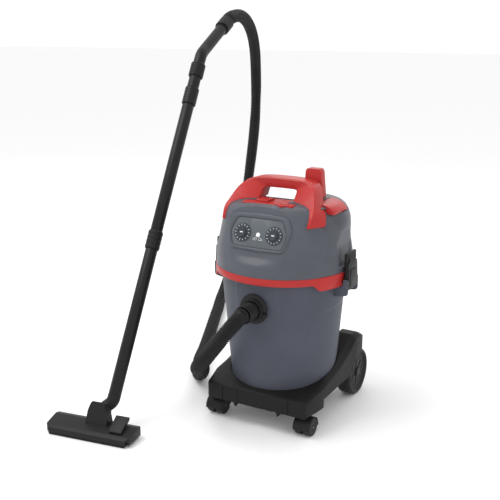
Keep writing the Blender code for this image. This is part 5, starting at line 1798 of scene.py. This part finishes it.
@dataclass
class Studio:
    """Pale floor, soft lights, even surroundings and the camera."""

    def build(self, axis: Vector) -> None:
        """Set up everything that isn't the object.

        Args:
            axis: The machine's own axis.
        """
        scene = bpy.context.scene
        data = bpy.data.cameras.new("camera")
        data.lens, data.sensor_width, data.clip_end = 59.84, 36.0, 50.0
        camera = bpy.data.objects.new("camera", data)
        scene.collection.objects.link(camera)
        camera.location = axis + Vector((1.0039, -1.9889, 1.0707))
        camera.rotation_euler = (math.pi / 2 - 0.2654, 0, 0.5106)
        scene.camera = camera
        mesh = bpy.data.meshes.new("floor")
        mesh.from_pydata([(-30, -30, 0), (30, -30, 0), (30, 30, 0), (-30, 30, 0)], [], [(0, 1, 2, 3)])
        floor = bpy.data.objects.new("floor", mesh)
        scene.collection.objects.link(floor)
        graph = Graph("floor_paper")
        graph.feed("Base Color", graph.blend(graph.noise(2.0), (0.93, 0.93, 0.93), (0.94, 0.94, 0.94)))
        graph.feed("Roughness", 0.95)
        graph.shader.inputs["Specular IOR Level"].default_value = 0.1
        mesh.materials.append(graph.material)
        world = bpy.data.worlds.new("surroundings")
        world.use_nodes = True
        world.node_tree.nodes["Background"].inputs["Color"].default_value = (1, 1, 1, 1)
        world.node_tree.nodes["Background"].inputs["Strength"].default_value = 1.02
        scene.world = world
        scene.view_settings.view_transform = "Standard"
        self.lamp("key", axis + Vector((-1.3, -1.0, 2.9)), axis, 42, 1.6)
        self.lamp("fill", axis + Vector((2.4, -1.8, 1.8)), axis, 6, 2.0)
        self.lamp("back", axis + Vector((-0.6, 2.6, 2.4)), axis, 14, 1.8)

    @staticmethod
    def lamp(name: str, place: Vector, target: Vector, power: float, size: float) -> None:
        """Hang a square area light that looks at the machine's middle.

        Args:
            name: What the piece or material is called.
            place: Where it hangs.
            target: What it looks at.
            power: Its power in watts.
            size: Its side in metres.
        """
        data = bpy.data.lights.new(name, "AREA")
        data.energy, data.size = power, size
        light = bpy.data.objects.new(name, data)
        bpy.context.scene.collection.objects.link(light)
        light.location = place
        light.rotation_euler = (target + Vector((0, 0, 0.4)) - place).to_track_quat("-Z", "Y").to_euler()


class Kept:
    """Solids of the frame that keep their shape and only get a finish."""

    NODES = {
        "rear_axle": Finish.STEEL, "caster_axle_left": Finish.STEEL, "caster_axle_right": Finish.STEEL,
        "latch_pin_left": Finish.STEEL, "latch_pin_right": Finish.STEEL, "inlet_seal": Finish.RUBBER,
        "head_seal": Finish.RUBBER, "inlet_deflector": Finish.BLACK, "motor_plate": Finish.BLACK,
        "motor": Finish.CAST, "motor_fan": Finish.CAST, "motor_mount": Finish.RUBBER,
        "filter_cartridge": Finish.PAPER, "filter_cap": Finish.BLACK, "float_cage": Finish.BLACK,
        "float_ball": Finish.WHITE, "circuit_board": Finish.BOARD, "cable_gland": Finish.BLACK}

    def build(self, nodes: dict[str, bpy.types.Object]) -> None:
        """Give each kept solid its finish.

        Args:
            nodes: The solids from the frame.
        """
        for name, finish in self.NODES.items():
            nodes[name].data.materials.clear()
            nodes[name].data.materials.append(finish.material())


def main() -> None:
    """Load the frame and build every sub-assembly in order."""
    logging.basicConfig(level=logging.INFO, format="%(name)s: %(message)s")
    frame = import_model()
    low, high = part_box("head_rim")
    axis = Vector(((low.x + high.x) / 2, (low.y + high.y) / 2, 0.0))
    Studio().build(axis)
    bench = Bench(axis)
    rows, rounds = Repeater(Row.LINE), Repeater(Row.CIRCLE)
    bristles = Repeater(Row.LINE, round_shape=True, scatter=0.12)
    SuctionHose().build(bench)
    cover = HeadCover()
    wand = Wand()
    Tub().build(bench)
    Latches().build(bench, rows)
    Inlet().build(bench, rounds)
    RimBand().build(bench)
    cover.build(bench)
    CarryHandle().build(bench, cover)
    HeadTop().build(bench, cover, rows)
    ControlPanel().build(bench, rows, rounds)
    Exhaust().build(bench, cover, rows)
    Dolly().build(bench)
    RearWheels().build(bench, rounds)
    Casters().build(bench)
    wand.build(bench)
    FloorNozzle().build(bench, wand, bristles)
    Kept().build(frame["nodes"])
    bpy.context.view_layer.update()


if __name__ == "__main__":
    main()
